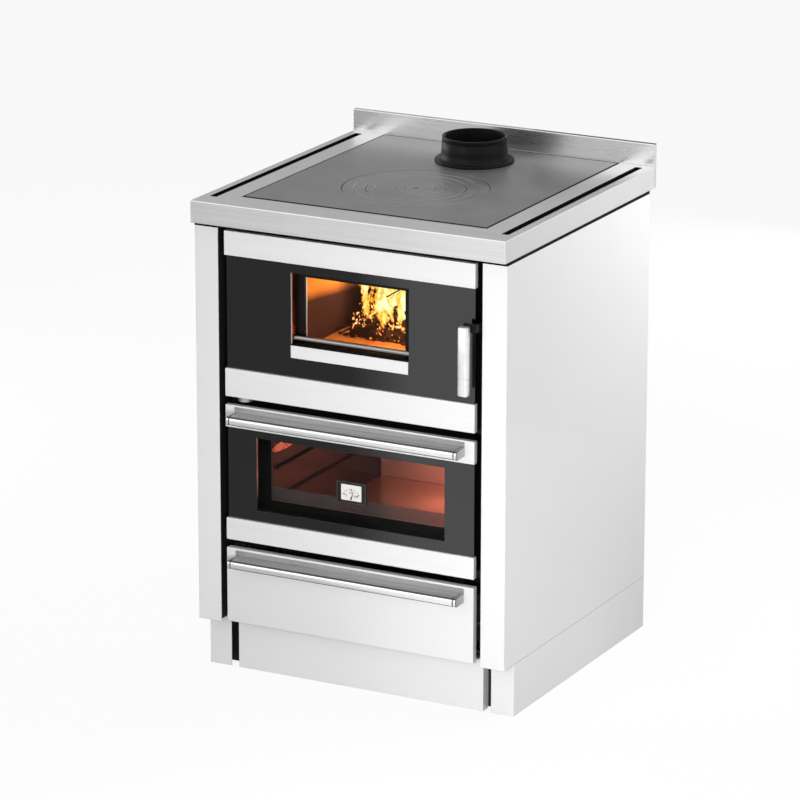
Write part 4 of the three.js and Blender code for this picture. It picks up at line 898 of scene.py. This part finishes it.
def makeThermometer():
    d = dial
    (x0, x1), (z0, z1), rim, centre = d["x"], d["z"], d["rim"], Vector(d["centre"])
    plate = (d["x"], dialLayer("plate"), d["z"])
    carrier = addBlocks("thermometerPlate", [plate], blackEnamel, "oven_door", d["plateEase"], 2)
    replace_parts(carrier, "oven_thermometer")
    blocks = frameBlocks((d["x"], d["z"]), ((x0 + rim, x1 - rim), (z0 + rim, z1 - rim)), dialLayer("rim"))
    addBlocks("thermometerRim", blocks, dullBead, "oven_door", d["rimEase"])
    face = ((x0 + d["side"], x1 - d["side"]), dialLayer("face"), (z0 + d["below"], z1 - d["above"]))
    addBlocks("thermometerFace", [face], dialWhitePaintedGlow, "oven_door", d["faceEase"])
    shape = bmesh.new()
    for mark in range(d["marks"]):
        out, across = dialWays(mark / (d["marks"] - 1))
        length, half = d["longMark"] if mark % d["longEvery"] == 0 else d["shortMark"]
        outer, inner = centre + out * d["radius"], centre + out * (d["radius"] - length)
        across *= half
        addPlate(shape, [inner - across, inner + across, outer + across, outer - across], dialLayer("marks"))
    bmesh.ops.recalc_face_normals(shape, faces=shape.faces)
    addPiece("thermometerMarks", shape, dialInk, "oven_door")
    shape = bmesh.new()
    out, across = dialWays(d["reading"] / d["full"])
    tail, across, tip = out * d["needleTail"], across * d["needleHalf"], out * (d["radius"] - d["needleShort"])
    addPlate(shape, [centre - across - tail, centre + across - tail, centre + tip], dialLayer("needle"))
    bmesh.ops.recalc_face_normals(shape, faces=shape.faces)
    addPiece("thermometerNeedle", shape, dialRed, "oven_door")
    for i, number in enumerate(d["numbers"]):
        words = bpy.data.curves.new(f"thermometerNumber{number}", "FONT")
        words.body, words.size, words.extrude = number, d["numberSize"], d["numberThick"]
        words.align_x, words.align_y = "CENTER", "CENTER"
        words.materials.append(dialInk)
        text = bpy.data.objects.new(f"thermometerNumber{number}", words)
        scene.collection.objects.link(text)
        x, z = centre + dialWays(i / (len(d["numbers"]) - 1))[0] * (d["radius"] - d["numberInset"])
        text.location = at(x, *dialLayer("numbers"), z)
        text.rotation_euler = (math.pi / 2, 0, 0)
        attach(text, "oven_door")


makeThermometer()
print("thermometer made")


# the holder of the inner oven glass with its bead and printed band, and the oven's back, floor and the lens with its
# painted glow
ovenTrim = {
    "outer": ((-181.6, 181.6), (307.9, 438.1)), "inner": ((-168, 176), (321, 432)), "y": (44.2, 47.6), "ease": 0.3,
    "bead": 0.9, "beadY": (43.6, 44.1), "band": 24, "bandY": (46.7, 47.1),
    "back": ((-177.6, 177.6), (468.4, 469.8), (247, 461.6)),
    "floor": ((-177.6, 177.6), (66, 468.2), (246.1, 246.8)),
    "lens": {"middle": (-176.6, 112, 404), "half": (2.2, 50, 8.5), "ribs": 18, "ribDepth": 0.12, "sides": (56, 18)},
}


# a printed band that lets most of the light through
def printedBand(name, look):
    material, tree, shader = startMaterial(name)
    dots = noiseOf(tree, objectPoint(tree), look["grain"])
    wire(tree, shader, {
        "Base Color": tonesOf(tree, dots, look), "Roughness": look["rough"],
        "Alpha": rangeOf(tree, dots, 0.3, 0.7, look["thin"], look["thick"]),
    })
    return material


greyBand = printedBand("greyPrintedBand", {
    "grain": 60, "dark": (0.08, 0.08, 0.085), "light": (0.11, 0.11, 0.115), "rough": 0.5, "thin": 0.4, "thick": 0.5,
})


def makeOvenTrim():
    inner, t = ovenTrim["inner"], ovenTrim["bead"]
    (x0, x1), (z0, z1) = inner
    blocks = frameBlocks(ovenTrim["outer"], inner, ovenTrim["y"])
    addBlocks("innerGlassHolder", blocks, matBlack, "oven_door", ovenTrim["ease"])
    blocks = [((x0, x0 + t), ovenTrim["beadY"], (z0, z1)), ((x0, x1), ovenTrim["beadY"], (z0, z0 + t))]
    addBlocks("innerGlassBead", blocks, dullBead, "oven_door")
    band = ((x0 + t, x1), ovenTrim["bandY"], (z0 + t, z0 + ovenTrim["band"]))
    addBlocks("innerGlassBand", [band], greyBand, "oven_door")
    addBlocks("ovenBackSheet", [ovenTrim["back"]], ovenBackEnamel, "carcass")
    addBlocks("ovenFloorSheet", [ovenTrim["floor"]], ovenFloor, "carcass")


# a ribbed red glass in the oven's left wall, whose red glow is emission in its paint: painted light, with no lamp
# behind it
def makePaintedGlowLens():
    lens = ovenTrim["lens"]
    around, along = lens["sides"]
    shape = bmesh.new()
    for vertex in bmesh.ops.create_uvsphere(shape, u_segments=around, v_segments=along, radius=1)["verts"]:
        x, y, z = vertex.co
        rib = 1 + lens["ribDepth"] * math.cos(math.pi * lens["ribs"] * y)
        vertex.co = at(*(m + c * h for m, c, h in zip(lens["middle"], (x * rib, y, z), lens["half"])))
    # Blender lists a sphere's faces in another order on each run, so they are put in the order of their corners
    shape.verts.index_update()
    for place, face in enumerate(sorted(shape.faces, key=lambda face: [vertex.index for vertex in face.verts])):
        face.index = place
    shape.faces.sort()
    addPiece("ovenPaintedGlowLens", shape, lensPaintedGlow, "carcass", 60)


makeOvenTrim()
makePaintedGlowLens()
print("oven trim made")


# logs, embers and flames on the grate
fire = {
    "seed": 7, "hearth": 590.5, "middle": (-12, 208),
    "ash": {
        "half": (106, 86), "columns": 44, "rows": 30, "rise": 4, "round": 0.7, "sunk": 0.6,
        # height, width and layer of the noise
        "lumps": (3, 14, 3), "grit": (0.4, 4, 9),
    },
    "logs": [
        # start, end, radius
        ((-88, 226, 604), (84, 248, 606), 17),
        ((-84, 182, 602), (72, 190, 604), 13),
        ((-70, 252, 622), (40, 172, 628), 12),
        ((-56, 176, 620), (58, 246, 632), 12),
        ((-36, 234, 636), (36, 176, 650), 9),
        ((-122, 190, 596), (-64, 214, 620), 1.8),
        ((-104, 178, 596), (-50, 206, 630), 1.4),
        ((-84, 224, 606), (-30, 184, 644), 1.6),
        ((-8, 166, 676), (20, 170, 694), 1.2),
        ((12, 166, 704), (38, 172, 682), 1.2),
    ],
    "bark": {
        "steps": 34, "around": 26, "bow": 0.12, "taper": 0.14, "sawnEnd": 0.93, "crown": 0.02,
        "lumps": 0.16, "lumpScale": (9, 1.6), "swell": 0.1, "swellScale": 0.4, "grit": 0.07, "gritScale": (3, 5),
        "split": 0.14, "splitTurn": 1.1,
    },
    "embers": 120, "emberSize": (2.5, 7.5), "emberSpread": (38, 22), "emberBounds": ((-112, 112), (178, 290)),
    "emberSquash": ((0.8, 1.4), (0.7, 1.2), (0.45, 0.8)), "emberLumps": (0.35, 130), "emberLift": 0.7,
    "sparks": 260, "sparkSize": (0.35, 1.25), "sparkMiddle": (-34, 186), "sparkSpread": (38, 14, 17), "sparkLow": 603,
    "sparkBounds": (-78, 70), "sparkWide": (0.5, 1.3), "sparkTall": (1.2, 4.5), "sparkTilt": 0.9,
    "sparkLumps": (0.4, 900),
    "sheets": [
        # y, left, right, top, lean, shift of the pattern
        (252, -124, 70, 782, 6, 0.0), (218, -116, 70, 780, -4, 2.7), (184, -100, 74, 772, 4, 5.1),
    ],
    "foot": 602, "columns": 30, "rows": 34, "bow": 10, "wave": (5, 9), "waveTurns": 3, "reach": 120,
    "tongue": 44, "tongueStart": 62, "tongueShift": 9, "tongueDepth": 0.16,
    # how steeply the pattern thins at each side, how far the left side leans, and its start at the foot
    "leftFade": 8, "leftLean": 0.16, "rightFade": 6, "footStart": 0.5, "footFade": 2.6,
    "tipLoss": 0.3, "tipPower": 2.2,
}


def charredWood(name, look):
    material, tree, shader = startMaterial(name)
    point = objectPoint(tree)
    bark = noiseOf(tree, point, look["bark"], 8, 0.7, 0.6)
    warp = mathOf(tree, "MULTIPLY", noiseOf(tree, point, 60, 3), 0.03)
    bent = addNode(tree, "ShaderNodeVectorMath", {0: point, 1: warp}, operation="ADD")
    cells = {"Vector": bent.outputs[0], "Scale": look["crack"]}
    cracks = addNode(tree, "ShaderNodeTexVoronoi", cells, feature="DISTANCE_TO_EDGE").outputs["Distance"]
    patch = noiseOf(tree, point, look["patch"])
    hot = rangeOf(tree, patch, look["glowFrom"], look["glowFrom"] + 0.12, 0, 1)
    glow = mathOf(tree, "MULTIPLY", rangeOf(tree, cracks, 0.0, look["crackWide"], 1, 0), hot)
    wire(tree, shader, {
        "Base Color": rampOf(tree, bark, [(0.35, look["char"]), (0.62, look["wood"]), (0.75, look["ash"])]),
        "Roughness": rangeOf(tree, bark, 0.3, 0.7, 0.8, 0.97),
        "Normal": bumpOf(tree, mathOf(tree, "ADD", bark, cracks), 0.8, 0.003),
        "Emission Color": rampOf(tree, glow, [
            (0.1, (0.5, 0.05, 0.0)), (0.6, (1.0, 0.36, 0.05)), (0.9, (1.0, 0.8, 0.35)),
        ]),
        "Emission Strength": mathOf(tree, "MULTIPLY", glow, look["glow"]),
    })
    return material


# ragged tongues: a rising noise, bent by a slower one, cut off where it is thin
def flameLight(name, look):
    material, tree, shader = startMaterial(name)
    core = addNode(tree, "ShaderNodeAttribute", attribute_name="flameCore").outputs["Fac"]
    slow = addNode(tree, "ShaderNodeTexNoise", {
        "Vector": objectPoint(tree, (1, 1, 0.7)), "Scale": look["swirl"], "Detail": 2,
    }).outputs["Color"]
    push = addNode(tree, "ShaderNodeVectorMath", {0: slow, "Scale": look["bend"]}, operation="SCALE").outputs[0]
    tall = objectPoint(tree, (1, 3, look["tall"]))
    bent = addNode(tree, "ShaderNodeVectorMath", {0: tall, 1: push}, operation="ADD").outputs[0]
    lick = noiseOf(tree, bent, look["lick"], 6, 0.62, 0.35)
    body = mathOf(tree, "ADD", mathOf(tree, "MULTIPLY", core, look["fill"]), lick)
    color = rampOf(tree, body, look["colors"])
    cover = rangeOf(tree, body, look["edge"], look["edge"] + look["soft"], 0, 1)
    glow = addNode(tree, "ShaderNodeEmission", {"Color": color, "Strength": look["strength"]}).outputs[0]
    clear = addNode(tree, "ShaderNodeBsdfTransparent").outputs[0]
    showInstead(tree, shader, mixShader(tree, cover, clear, glow))
    return material


charLog = charredWood("charredLog", {
    "bark": 55, "crack": 70, "crackWide": 0.05, "patch": 45, "glowFrom": 0.53, "glow": 3.5,
    "char": (0.004, 0.003, 0.003), "wood": (0.014, 0.008, 0.006), "ash": (0.06, 0.04, 0.03),
})
emberCoal = charredWood("glowingEmber", {
    "bark": 90, "crack": 95, "crackWide": 0.1, "patch": 60, "glowFrom": 0.52, "glow": 4,
    "char": (0.01, 0.005, 0.004), "wood": (0.04, 0.015, 0.009), "ash": (0.12, 0.07, 0.05),
})
flame = flameLight("woodFlame", {
    "swirl": 20, "bend": 0.06, "tall": 0.42, "lick": 38, "fill": 0.45, "edge": 0.79, "soft": 0.03, "strength": 1.15,
    "colors": [(0.78, (0.62, 0.09, 0.01)), (0.81, (1.0, 0.34, 0.02)), (0.84, (1.0, 0.62, 0.08)),
               (0.885, (1.0, 0.86, 0.24)), (0.95, (1.0, 0.96, 0.6))],
})


def makeAshBed():
    ash, middle = fire["ash"], fire["middle"]
    shape = bmesh.new()
    grid = []
    for j in range(ash["rows"] + 1):
        grid.append([])
        for i in range(ash["columns"] + 1):
            u, v = i / ash["columns"] * 2 - 1, j / ash["rows"] * 2 - 1
            x, y = middle[0] + u * ash["half"][0], middle[1] + v * ash["half"][1]
            lumps, grit = (
                height * noise.noise(Vector((x / wide, y / wide, layer)))
                for height, wide, layer in (ash["lumps"], ash["grit"])
            )
            lift = max(0, 1 - (u * u + v * v)) ** ash["round"] * (ash["rise"] + lumps) + grit
            grid[-1].append(shape.verts.new(at(x, y, fire["hearth"] - ash["sunk"] + max(0, lift))))
    joinRows(shape, grid, False)
    outline = grid[0] + [row[-1] for row in grid[1:]] + grid[-1][-2::-1] + [row[0] for row in grid[-2:0:-1]]
    shape.faces.new(outline[::-1])
    bmesh.ops.recalc_face_normals(shape, faces=shape.faces)
    addPiece("ashBed", shape, hotAsh, "carcass", 60)


def makeLog(name, start, end, radius, seed):
    bark = fire["bark"]
    steps, around = bark["steps"], bark["around"]
    (lumpAlong, lumpRound), (gritAlong, gritRound) = bark["lumpScale"], bark["gritScale"]
    a, b = Vector(start), Vector(end)
    along = (b - a).normalized()
    side = along.cross(Vector((0, 0, 1))).normalized()
    up = side.cross(along)
    shape = bmesh.new()
    rings = []
    for i in range(steps + 1):
        t = i / steps
        spine = a.lerp(b, t) + up * math.sin(t * math.pi) * radius * bark["bow"]
        taper = (1 - bark["taper"] * t) * (bark["sawnEnd"] if i in (0, steps) else 1)
        rings.append([])
        for k in range(around):
            turn = 2 * math.pi * k / around
            out = side * math.cos(turn) + up * math.sin(turn)
            where = Vector((t * lumpAlong + seed, math.cos(turn) * lumpRound, math.sin(turn) * lumpRound))
            rough = bark["lumps"] * noise.noise(where) + bark["swell"] * noise.noise(where * bark["swellScale"])
            rough += bark["grit"] * noise.noise(Vector((t * gritAlong, turn * gritRound, seed)))
            split = -bark["split"] * max(0, math.cos(turn - bark["splitTurn"] - seed)) ** 4
            rings[-1].append(shape.verts.new(at(*(spine + out * radius * taper * (1 + rough + split)))))
    joinRows(shape, rings)
    for ring, spot in ((rings[0], a), (rings[-1], b)):
        middle = shape.verts.new(at(*(spot + up * radius * bark["crown"])))
        for k in range(around):
            shape.faces.new([ring[k], ring[(k + 1) % around], middle])
    bmesh.ops.recalc_face_normals(shape, faces=shape.faces)
    addPiece(name, shape, charLog, "carcass", 60)


# a lumpy ball, stretched and then turned
def addNugget(shape, spot, radius, detail, stretch, turn, lumps, seed):
    depth, grain = lumps
    for vertex in bmesh.ops.create_icosphere(shape, subdivisions=detail, radius=radius / 1000)["verts"]:
        lump = 1 + depth * noise.noise(vertex.co * grain + Vector((seed, 0, 0)))
        vertex.co = turn @ Vector(vertex.co[k] * stretch[k] * lump for k in range(3)) + spot


def makeEmbers():
    random.seed(fire["seed"] + 1)
    shape = bmesh.new()
    for i in range(fire["embers"]):
        size = random.uniform(*fire["emberSize"])
        x, y = (random.gauss(fire["middle"][k], fire["emberSpread"][k]) for k in (0, 1))
        x, y = (max(low, min(high, value)) for value, (low, high) in zip((x, y), fire["emberBounds"]))
        squash = Vector([random.uniform(*span) for span in fire["emberSquash"]])
        spin = Matrix.Rotation(random.uniform(0, 6.28), 3, "Z")
        spot = at(x, y, fire["hearth"] + size * squash.z * fire["emberLift"])
        addNugget(shape, spot, size, 2, squash, spin, fire["emberLumps"], i)
    addPiece("emberBed", shape, emberCoal, "carcass", 30)


# bright sparks on and over the logs
def makeSparks():
    random.seed(fire["seed"] + 2)
    shape = bmesh.new()
    (x0, y0), (wide, deep, high), (left, right) = fire["sparkMiddle"], fire["sparkSpread"], fire["sparkBounds"]
    for i in range(fire["sparks"]):
        x = max(left, min(right, random.gauss(x0, wide)))
        y = y0 + random.uniform(-deep, deep)
        spot = at(x, y, fire["sparkLow"] + abs(random.gauss(0, high)))
        size = random.uniform(*fire["sparkSize"])
        stretch = Vector((random.uniform(*fire["sparkWide"]), 1, random.uniform(*fire["sparkTall"])))
        tilt = Matrix.Rotation(random.uniform(-fire["sparkTilt"], fire["sparkTilt"]), 3, "Y")
        addNugget(shape, spot, size, 1, stretch, tilt, fire["sparkLumps"], i)
    addPiece("sparks", shape, sparkGlow, "carcass", 180)


# bowed sheets, one behind the other, that carry the flame pattern
def makeFlames():
    shape = bmesh.new()
    core = shape.verts.layers.float.new("flameCore")
    columns, rows, foot, reach, turns = (fire[key] for key in ("columns", "rows", "foot", "reach", "waveTurns"))
    (waveWide, waveDeep), depth = fire["wave"], fire["tongueDepth"]
    for y, left, right, top, lean, shift in fire["sheets"]:
        grid = []
        for r in range(rows + 1):
            t = r / rows
            ends = min(1, fire["footStart"] + fire["footFade"] * t) * (1 - fire["tipLoss"] * t ** fire["tipPower"])
            grid.append([])
            for c in range(columns + 1):
                u = c / columns
                wave = noise.noise(Vector((u * turns + shift, t * turns, shift)))
                x = left + (right - left) * u + lean * t + waveWide * wave
                back = y - fire["bow"] * math.sin(math.pi * u) + waveDeep * wave
                vertex = shape.verts.new(at(max(-reach, min(reach, x)), back, foot + (top - foot) * t))
                # thin at both sides, the foot and the tip, and in waves across
                sides = min(1, max(0, fire["leftFade"] * (u - fire["leftLean"] * (1 - t))))
                sides *= min(1, fire["rightFade"] * (1 - u))
                turn = 2 * math.pi * (x + fire["tongueStart"] + fire["tongueShift"] * shift) / fire["tongue"]
                vertex[core] = sides * ends * (1 - depth + depth * math.cos(turn))
                grid[-1].append(vertex)
        joinRows(shape, grid, False)
    addPiece("flames", shape, flame, "carcass", 180)


makeAshBed()
for index, (start, end, radius) in enumerate(fire["logs"]):
    makeLog(f"log{index + 1}", start, end, radius, index * 1.7 + 1)
makeEmbers()
makeSparks()
makeFlames()
print("fire made")


# screws of the casing, on the back
screw = {
    "radius": 4.2, "rise": 1.6, "sides": 20,
    # width and rise of each turn of the head, as shares
    "head": [(1.0, 0.0), (1.0, 0.35), (0.82, 0.8), (0.5, 1.0)],
    "crossWidth": 0.34, "crossArm": 0.4, "crossFloor": 0.35, "crossRise": 0.3,
    "edgeX": 288, "edgeY": 579, "edgeHeights": (130, 290, 450, 610, 780, 20, 74),
    "lowX": (-210, -70, 70, 210), "lowY": 577.5, "lowZ": 110,
}


# a domed head with a cross recess
def addScrew(shape, x, y, z):
    turns = [2 * math.pi * k / screw["sides"] for k in range(screw["sides"])]
    rings = [[point] * len(turns) for point in screw["head"]]
    width, arm, floor, rise = (screw[key] for key in ("crossWidth", "crossArm", "crossFloor", "crossRise"))
    rings.append([
        (width * (1 - arm + arm * abs(math.cos(2 * turn))), floor + rise * abs(math.sin(2 * turn))) for turn in turns
    ])
    rows = []
    for ring in rings:
        rows.append([])
        for turn, (wide, high) in zip(turns, ring):
            reach = screw["radius"] * wide
            place = at(x + reach * math.cos(turn), y + screw["rise"] * high, z + reach * math.sin(turn))
            rows[-1].append(shape.verts.new(place))
    joinRows(shape, rows)
    shape.faces.new(rows[-1])
    shape.faces.new(rows[0])


def makeScrews():
    shape = bmesh.new()
    for side in (-1, 1):
        for z in screw["edgeHeights"]:
            addScrew(shape, side * screw["edgeX"], screw["edgeY"], z)
    for x in screw["lowX"]:
        addScrew(shape, x, screw["lowY"], screw["lowZ"])
    bmesh.ops.recalc_face_normals(shape, faces=shape.faces)
    addPiece("casingScrews", shape, zinc, "carcass", 30)


makeScrews()
print("screws made")


# camera, floor, cards and lamps, in metres where nothing else is said
studio = {
    "lens": 207.66, "cameraPlace": (3.5506, -6.8948, 2.7662), "yaw": -27.55, "pitch": -16.56, "roll": 0.08,
    "worldLight": 0.43, "mirroredWhite": 0.925,
    "floorHalf": 14, "floorDrop": 0.0002, "floorShare": 0.9, "floorPale": (0.93, 0.96), "floorUnseen": 0.34,
    # what the glass and steel mirror of the floor: darker to the left of a slanted line, and far away
    "floorLeft": 0.25, "floorRight": 1.0, "slant": 0.5215, "lineShift": 0.141, "leftEdge": -0.02, "rightEdge": 0.12,
    "farStart": 1.3, "farSpan": (2.2, 2.8), "farTones": (0.3, 0.9),
}
cards = {
    "greyCard": {"place": (-1.9, 3.6, 2.6), "target": (0, 0, 1.4), "half": (4, 2.2), "tones": (0.48, 0.36, 0.56)},
    "darkCard": {"place": (0.2, 0.33, 0.92), "target": (0.2, 0, 0.92), "half": (0.15, 0.03), "tones": (0.02, 0.03)},
}
softBoxes = {
    # place, target, power, size, shows in the steel
    "keyLamp": ((0.73, -1.59, 0.47), (0.2, -0.2, 0.5), 16.8, (0.5, 0.5), False),
    "rimLamp": ((0.98, 0.62, 1.04), (0.3, 0.25, 0.7), 8.6, (0.9, 0.9), False),
    "fillLamp": ((-1.5, -4.0, 2.2), (0, 0, 0.5), 22, (2.4, 2.4), True),
    "leftLamp": ((-2.4, 0.35, 0.8), (-0.3, 0, 0.45), 16, (1.4, 1.2), True),
    "backLamp": ((0, 3.0, 0.82), (0, 0.3, 0.45), 24, (1.4, 1.2), True),
}
innerLamps = {
    # place in mm, power, radius, colour
    "fireLamp": ((-30, 185, 700), 1.05, 0.03, (1.0, 0.5, 0.16)),
    "flameTipLamp": ((-58, 132, 758), 0.17, 0.02, (1.0, 0.56, 0.16)),
    "emberLamp": ((20, 104, 636), 0.85, 0.02, (1.0, 0.42, 0.12)),
    "ovenGlow": ((110, 170, 400), 0.52, 0.03, (1.0, 0.64, 0.58)),
    "ovenLamp": ((4, 368, 300), 0.27, 0.03, (1.0, 0.4, 0.25)),
}


def makeCamera():
    yaw, pitch, roll = (math.radians(studio[k]) for k in ("yaw", "pitch", "roll"))
    ahead = Vector((math.sin(yaw) * math.cos(pitch), math.cos(yaw) * math.cos(pitch), math.sin(pitch)))
    right = Vector((math.cos(yaw), -math.sin(yaw), 0))
    up = right.cross(ahead)
    turned = (right * math.cos(roll) + up * math.sin(roll), up * math.cos(roll) - right * math.sin(roll))
    camera = bpy.data.objects.new("camera", bpy.data.cameras.new("camera"))
    camera.data.lens, camera.data.sensor_width = studio["lens"], 36
    camera.data.clip_end = 60
    place = Matrix((turned[0], turned[1], -ahead)).transposed().to_4x4()
    place.translation = Vector(studio["cameraPlace"])
    camera.matrix_world = place
    scene.collection.objects.link(camera)
    scene.camera = camera


# the rays of the camera, and those that mirrors and glass pass on
def seenRays(tree):
    path = addNode(tree, "ShaderNodeLightPath").outputs
    both = mathOf(tree, "MAXIMUM", path["Is Camera Ray"], path["Is Glossy Ray"])
    return mathOf(tree, "MAXIMUM", both, path["Is Transmission Ray"])


# white to the camera, and the tones of the dictionary in mirrors
def floorTone(tree):
    spot = addNode(tree, "ShaderNodeSeparateXYZ", {"Vector": objectPoint(tree)}).outputs
    across = mathOf(tree, "SUBTRACT", spot["X"], mathOf(tree, "MULTIPLY", spot["Y"], studio["slant"]))
    across = mathOf(tree, "SUBTRACT", across, studio["lineShift"])
    step = rangeOf(tree, across, studio["leftEdge"], studio["rightEdge"], 0, 1)
    near = rampOf(tree, step, [(0, studio["floorLeft"]), (1, studio["floorRight"])])
    far = mixColor(tree, rangeOf(tree, spot["Y"], *studio["farSpan"], *studio["farTones"]), 0, 1)
    mirrored = mixColor(tree, mathOf(tree, "GREATER_THAN", spot["Y"], studio["farStart"]), near, far)
    return mixColor(tree, addNode(tree, "ShaderNodeLightPath").outputs["Is Glossy Ray"], 1, mirrored)


def addSheet(name, half, material):
    shape = bmesh.new()
    bmesh.ops.create_grid(shape, x_segments=1, y_segments=1, size=half)
    return addObject(name, shape, material)


def makeFloor():
    material, tree, shader = startMaterial("paleStudioFloor")
    speck = noiseOf(tree, objectPoint(tree), 3)
    seen = seenRays(tree)
    dark, light = studio["floorPale"]
    pale = rampOf(tree, speck, [(0.3, dark), (0.7, light)])
    wire(tree, shader, {
        "Base Color": mixColor(tree, seen, studio["floorUnseen"], pale), "Specular IOR Level": 0,
        "Roughness": rangeOf(tree, speck, 0.3, 0.7, 0.85, 0.95),
    })
    white = addNode(tree, "ShaderNodeEmission", {"Color": floorTone(tree), "Strength": 1}).outputs[0]
    share = mathOf(tree, "MULTIPLY", seen, studio["floorShare"])
    mixed = mixShader(tree, share, shader.outputs[0], white)
    tree.links.new(mixed, tree.nodes["Material Output"].inputs["Surface"])
    floor = addSheet("floor", studio["floorHalf"], material)
    floor.location.z = -studio["floorDrop"]


# the turn that points a thing's -Z from one place to another
def turnTo(start, end):
    return (Vector(end) - Vector(start)).to_track_quat("-Z", "Y").to_euler()


# cards that only the steel, iron and glass mirror
def makeCard(name, place, target, half, tones):
    material, tree, shader = startMaterial(name)
    point = addNode(tree, "ShaderNodeTexCoord").outputs["Generated"]
    height = addNode(tree, "ShaderNodeSeparateXYZ", {"Vector": point}).outputs["Y"]
    tone = rampOf(tree, height, [(i / (len(tones) - 1), value) for i, value in enumerate(tones)])
    showInstead(tree, shader, addNode(tree, "ShaderNodeEmission", {"Color": tone, "Strength": 1}).outputs[0])
    card = addSheet(name, 1, material)
    card.scale = (*half, 1)
    card.location = place
    card.rotation_euler = turnTo(target, place)   # its +Z faces the target
    card.visible_camera = card.visible_diffuse = card.visible_shadow = card.visible_transmission = False


def addLamp(name, kind, place, power, color=(1, 1, 1)):
    lamp = bpy.data.lights.new(name, kind)
    lamp.energy, lamp.color = power, color
    made = bpy.data.objects.new(name, lamp)
    made.location = place
    made.visible_camera = made.visible_transmission = made.visible_glossy = False
    scene.collection.objects.link(made)
    return made


def makeLights():
    world = bpy.data.worlds.new("studioWorld")
    scene.world = world
    world.use_nodes = True
    tree = world.node_tree
    plain = tree.nodes["Background"]
    wire(tree, plain, {"Color": rgba(1), "Strength": studio["worldLight"]})
    direct = addNode(tree, "ShaderNodeLightPath").outputs["Is Camera Ray"]
    strength = rangeOf(tree, direct, 0, 1, studio["mirroredWhite"], 1)
    white = addNode(tree, "ShaderNodeBackground", {"Color": rgba(1), "Strength": strength}).outputs[0]
    mixed = mixShader(tree, seenRays(tree), plain.outputs[0], white)
    tree.links.new(mixed, tree.nodes["World Output"].inputs["Surface"])
    for name, (place, target, power, size, mirrored) in softBoxes.items():
        lamp = addLamp(name, "AREA", place, power)
        lamp.data.shape, (lamp.data.size, lamp.data.size_y) = "RECTANGLE", size
        lamp.rotation_euler = turnTo(place, target)
        lamp.visible_glossy = mirrored
    for name, (place, power, radius, color) in innerLamps.items():
        addLamp(name, "POINT", at(*place), power, color).data.shadow_soft_size = radius


makeCamera()
makeFloor()
for name, card in cards.items():
    makeCard(name, **card)
makeLights()
scene.view_settings.view_transform = "Standard"
print("studio made")
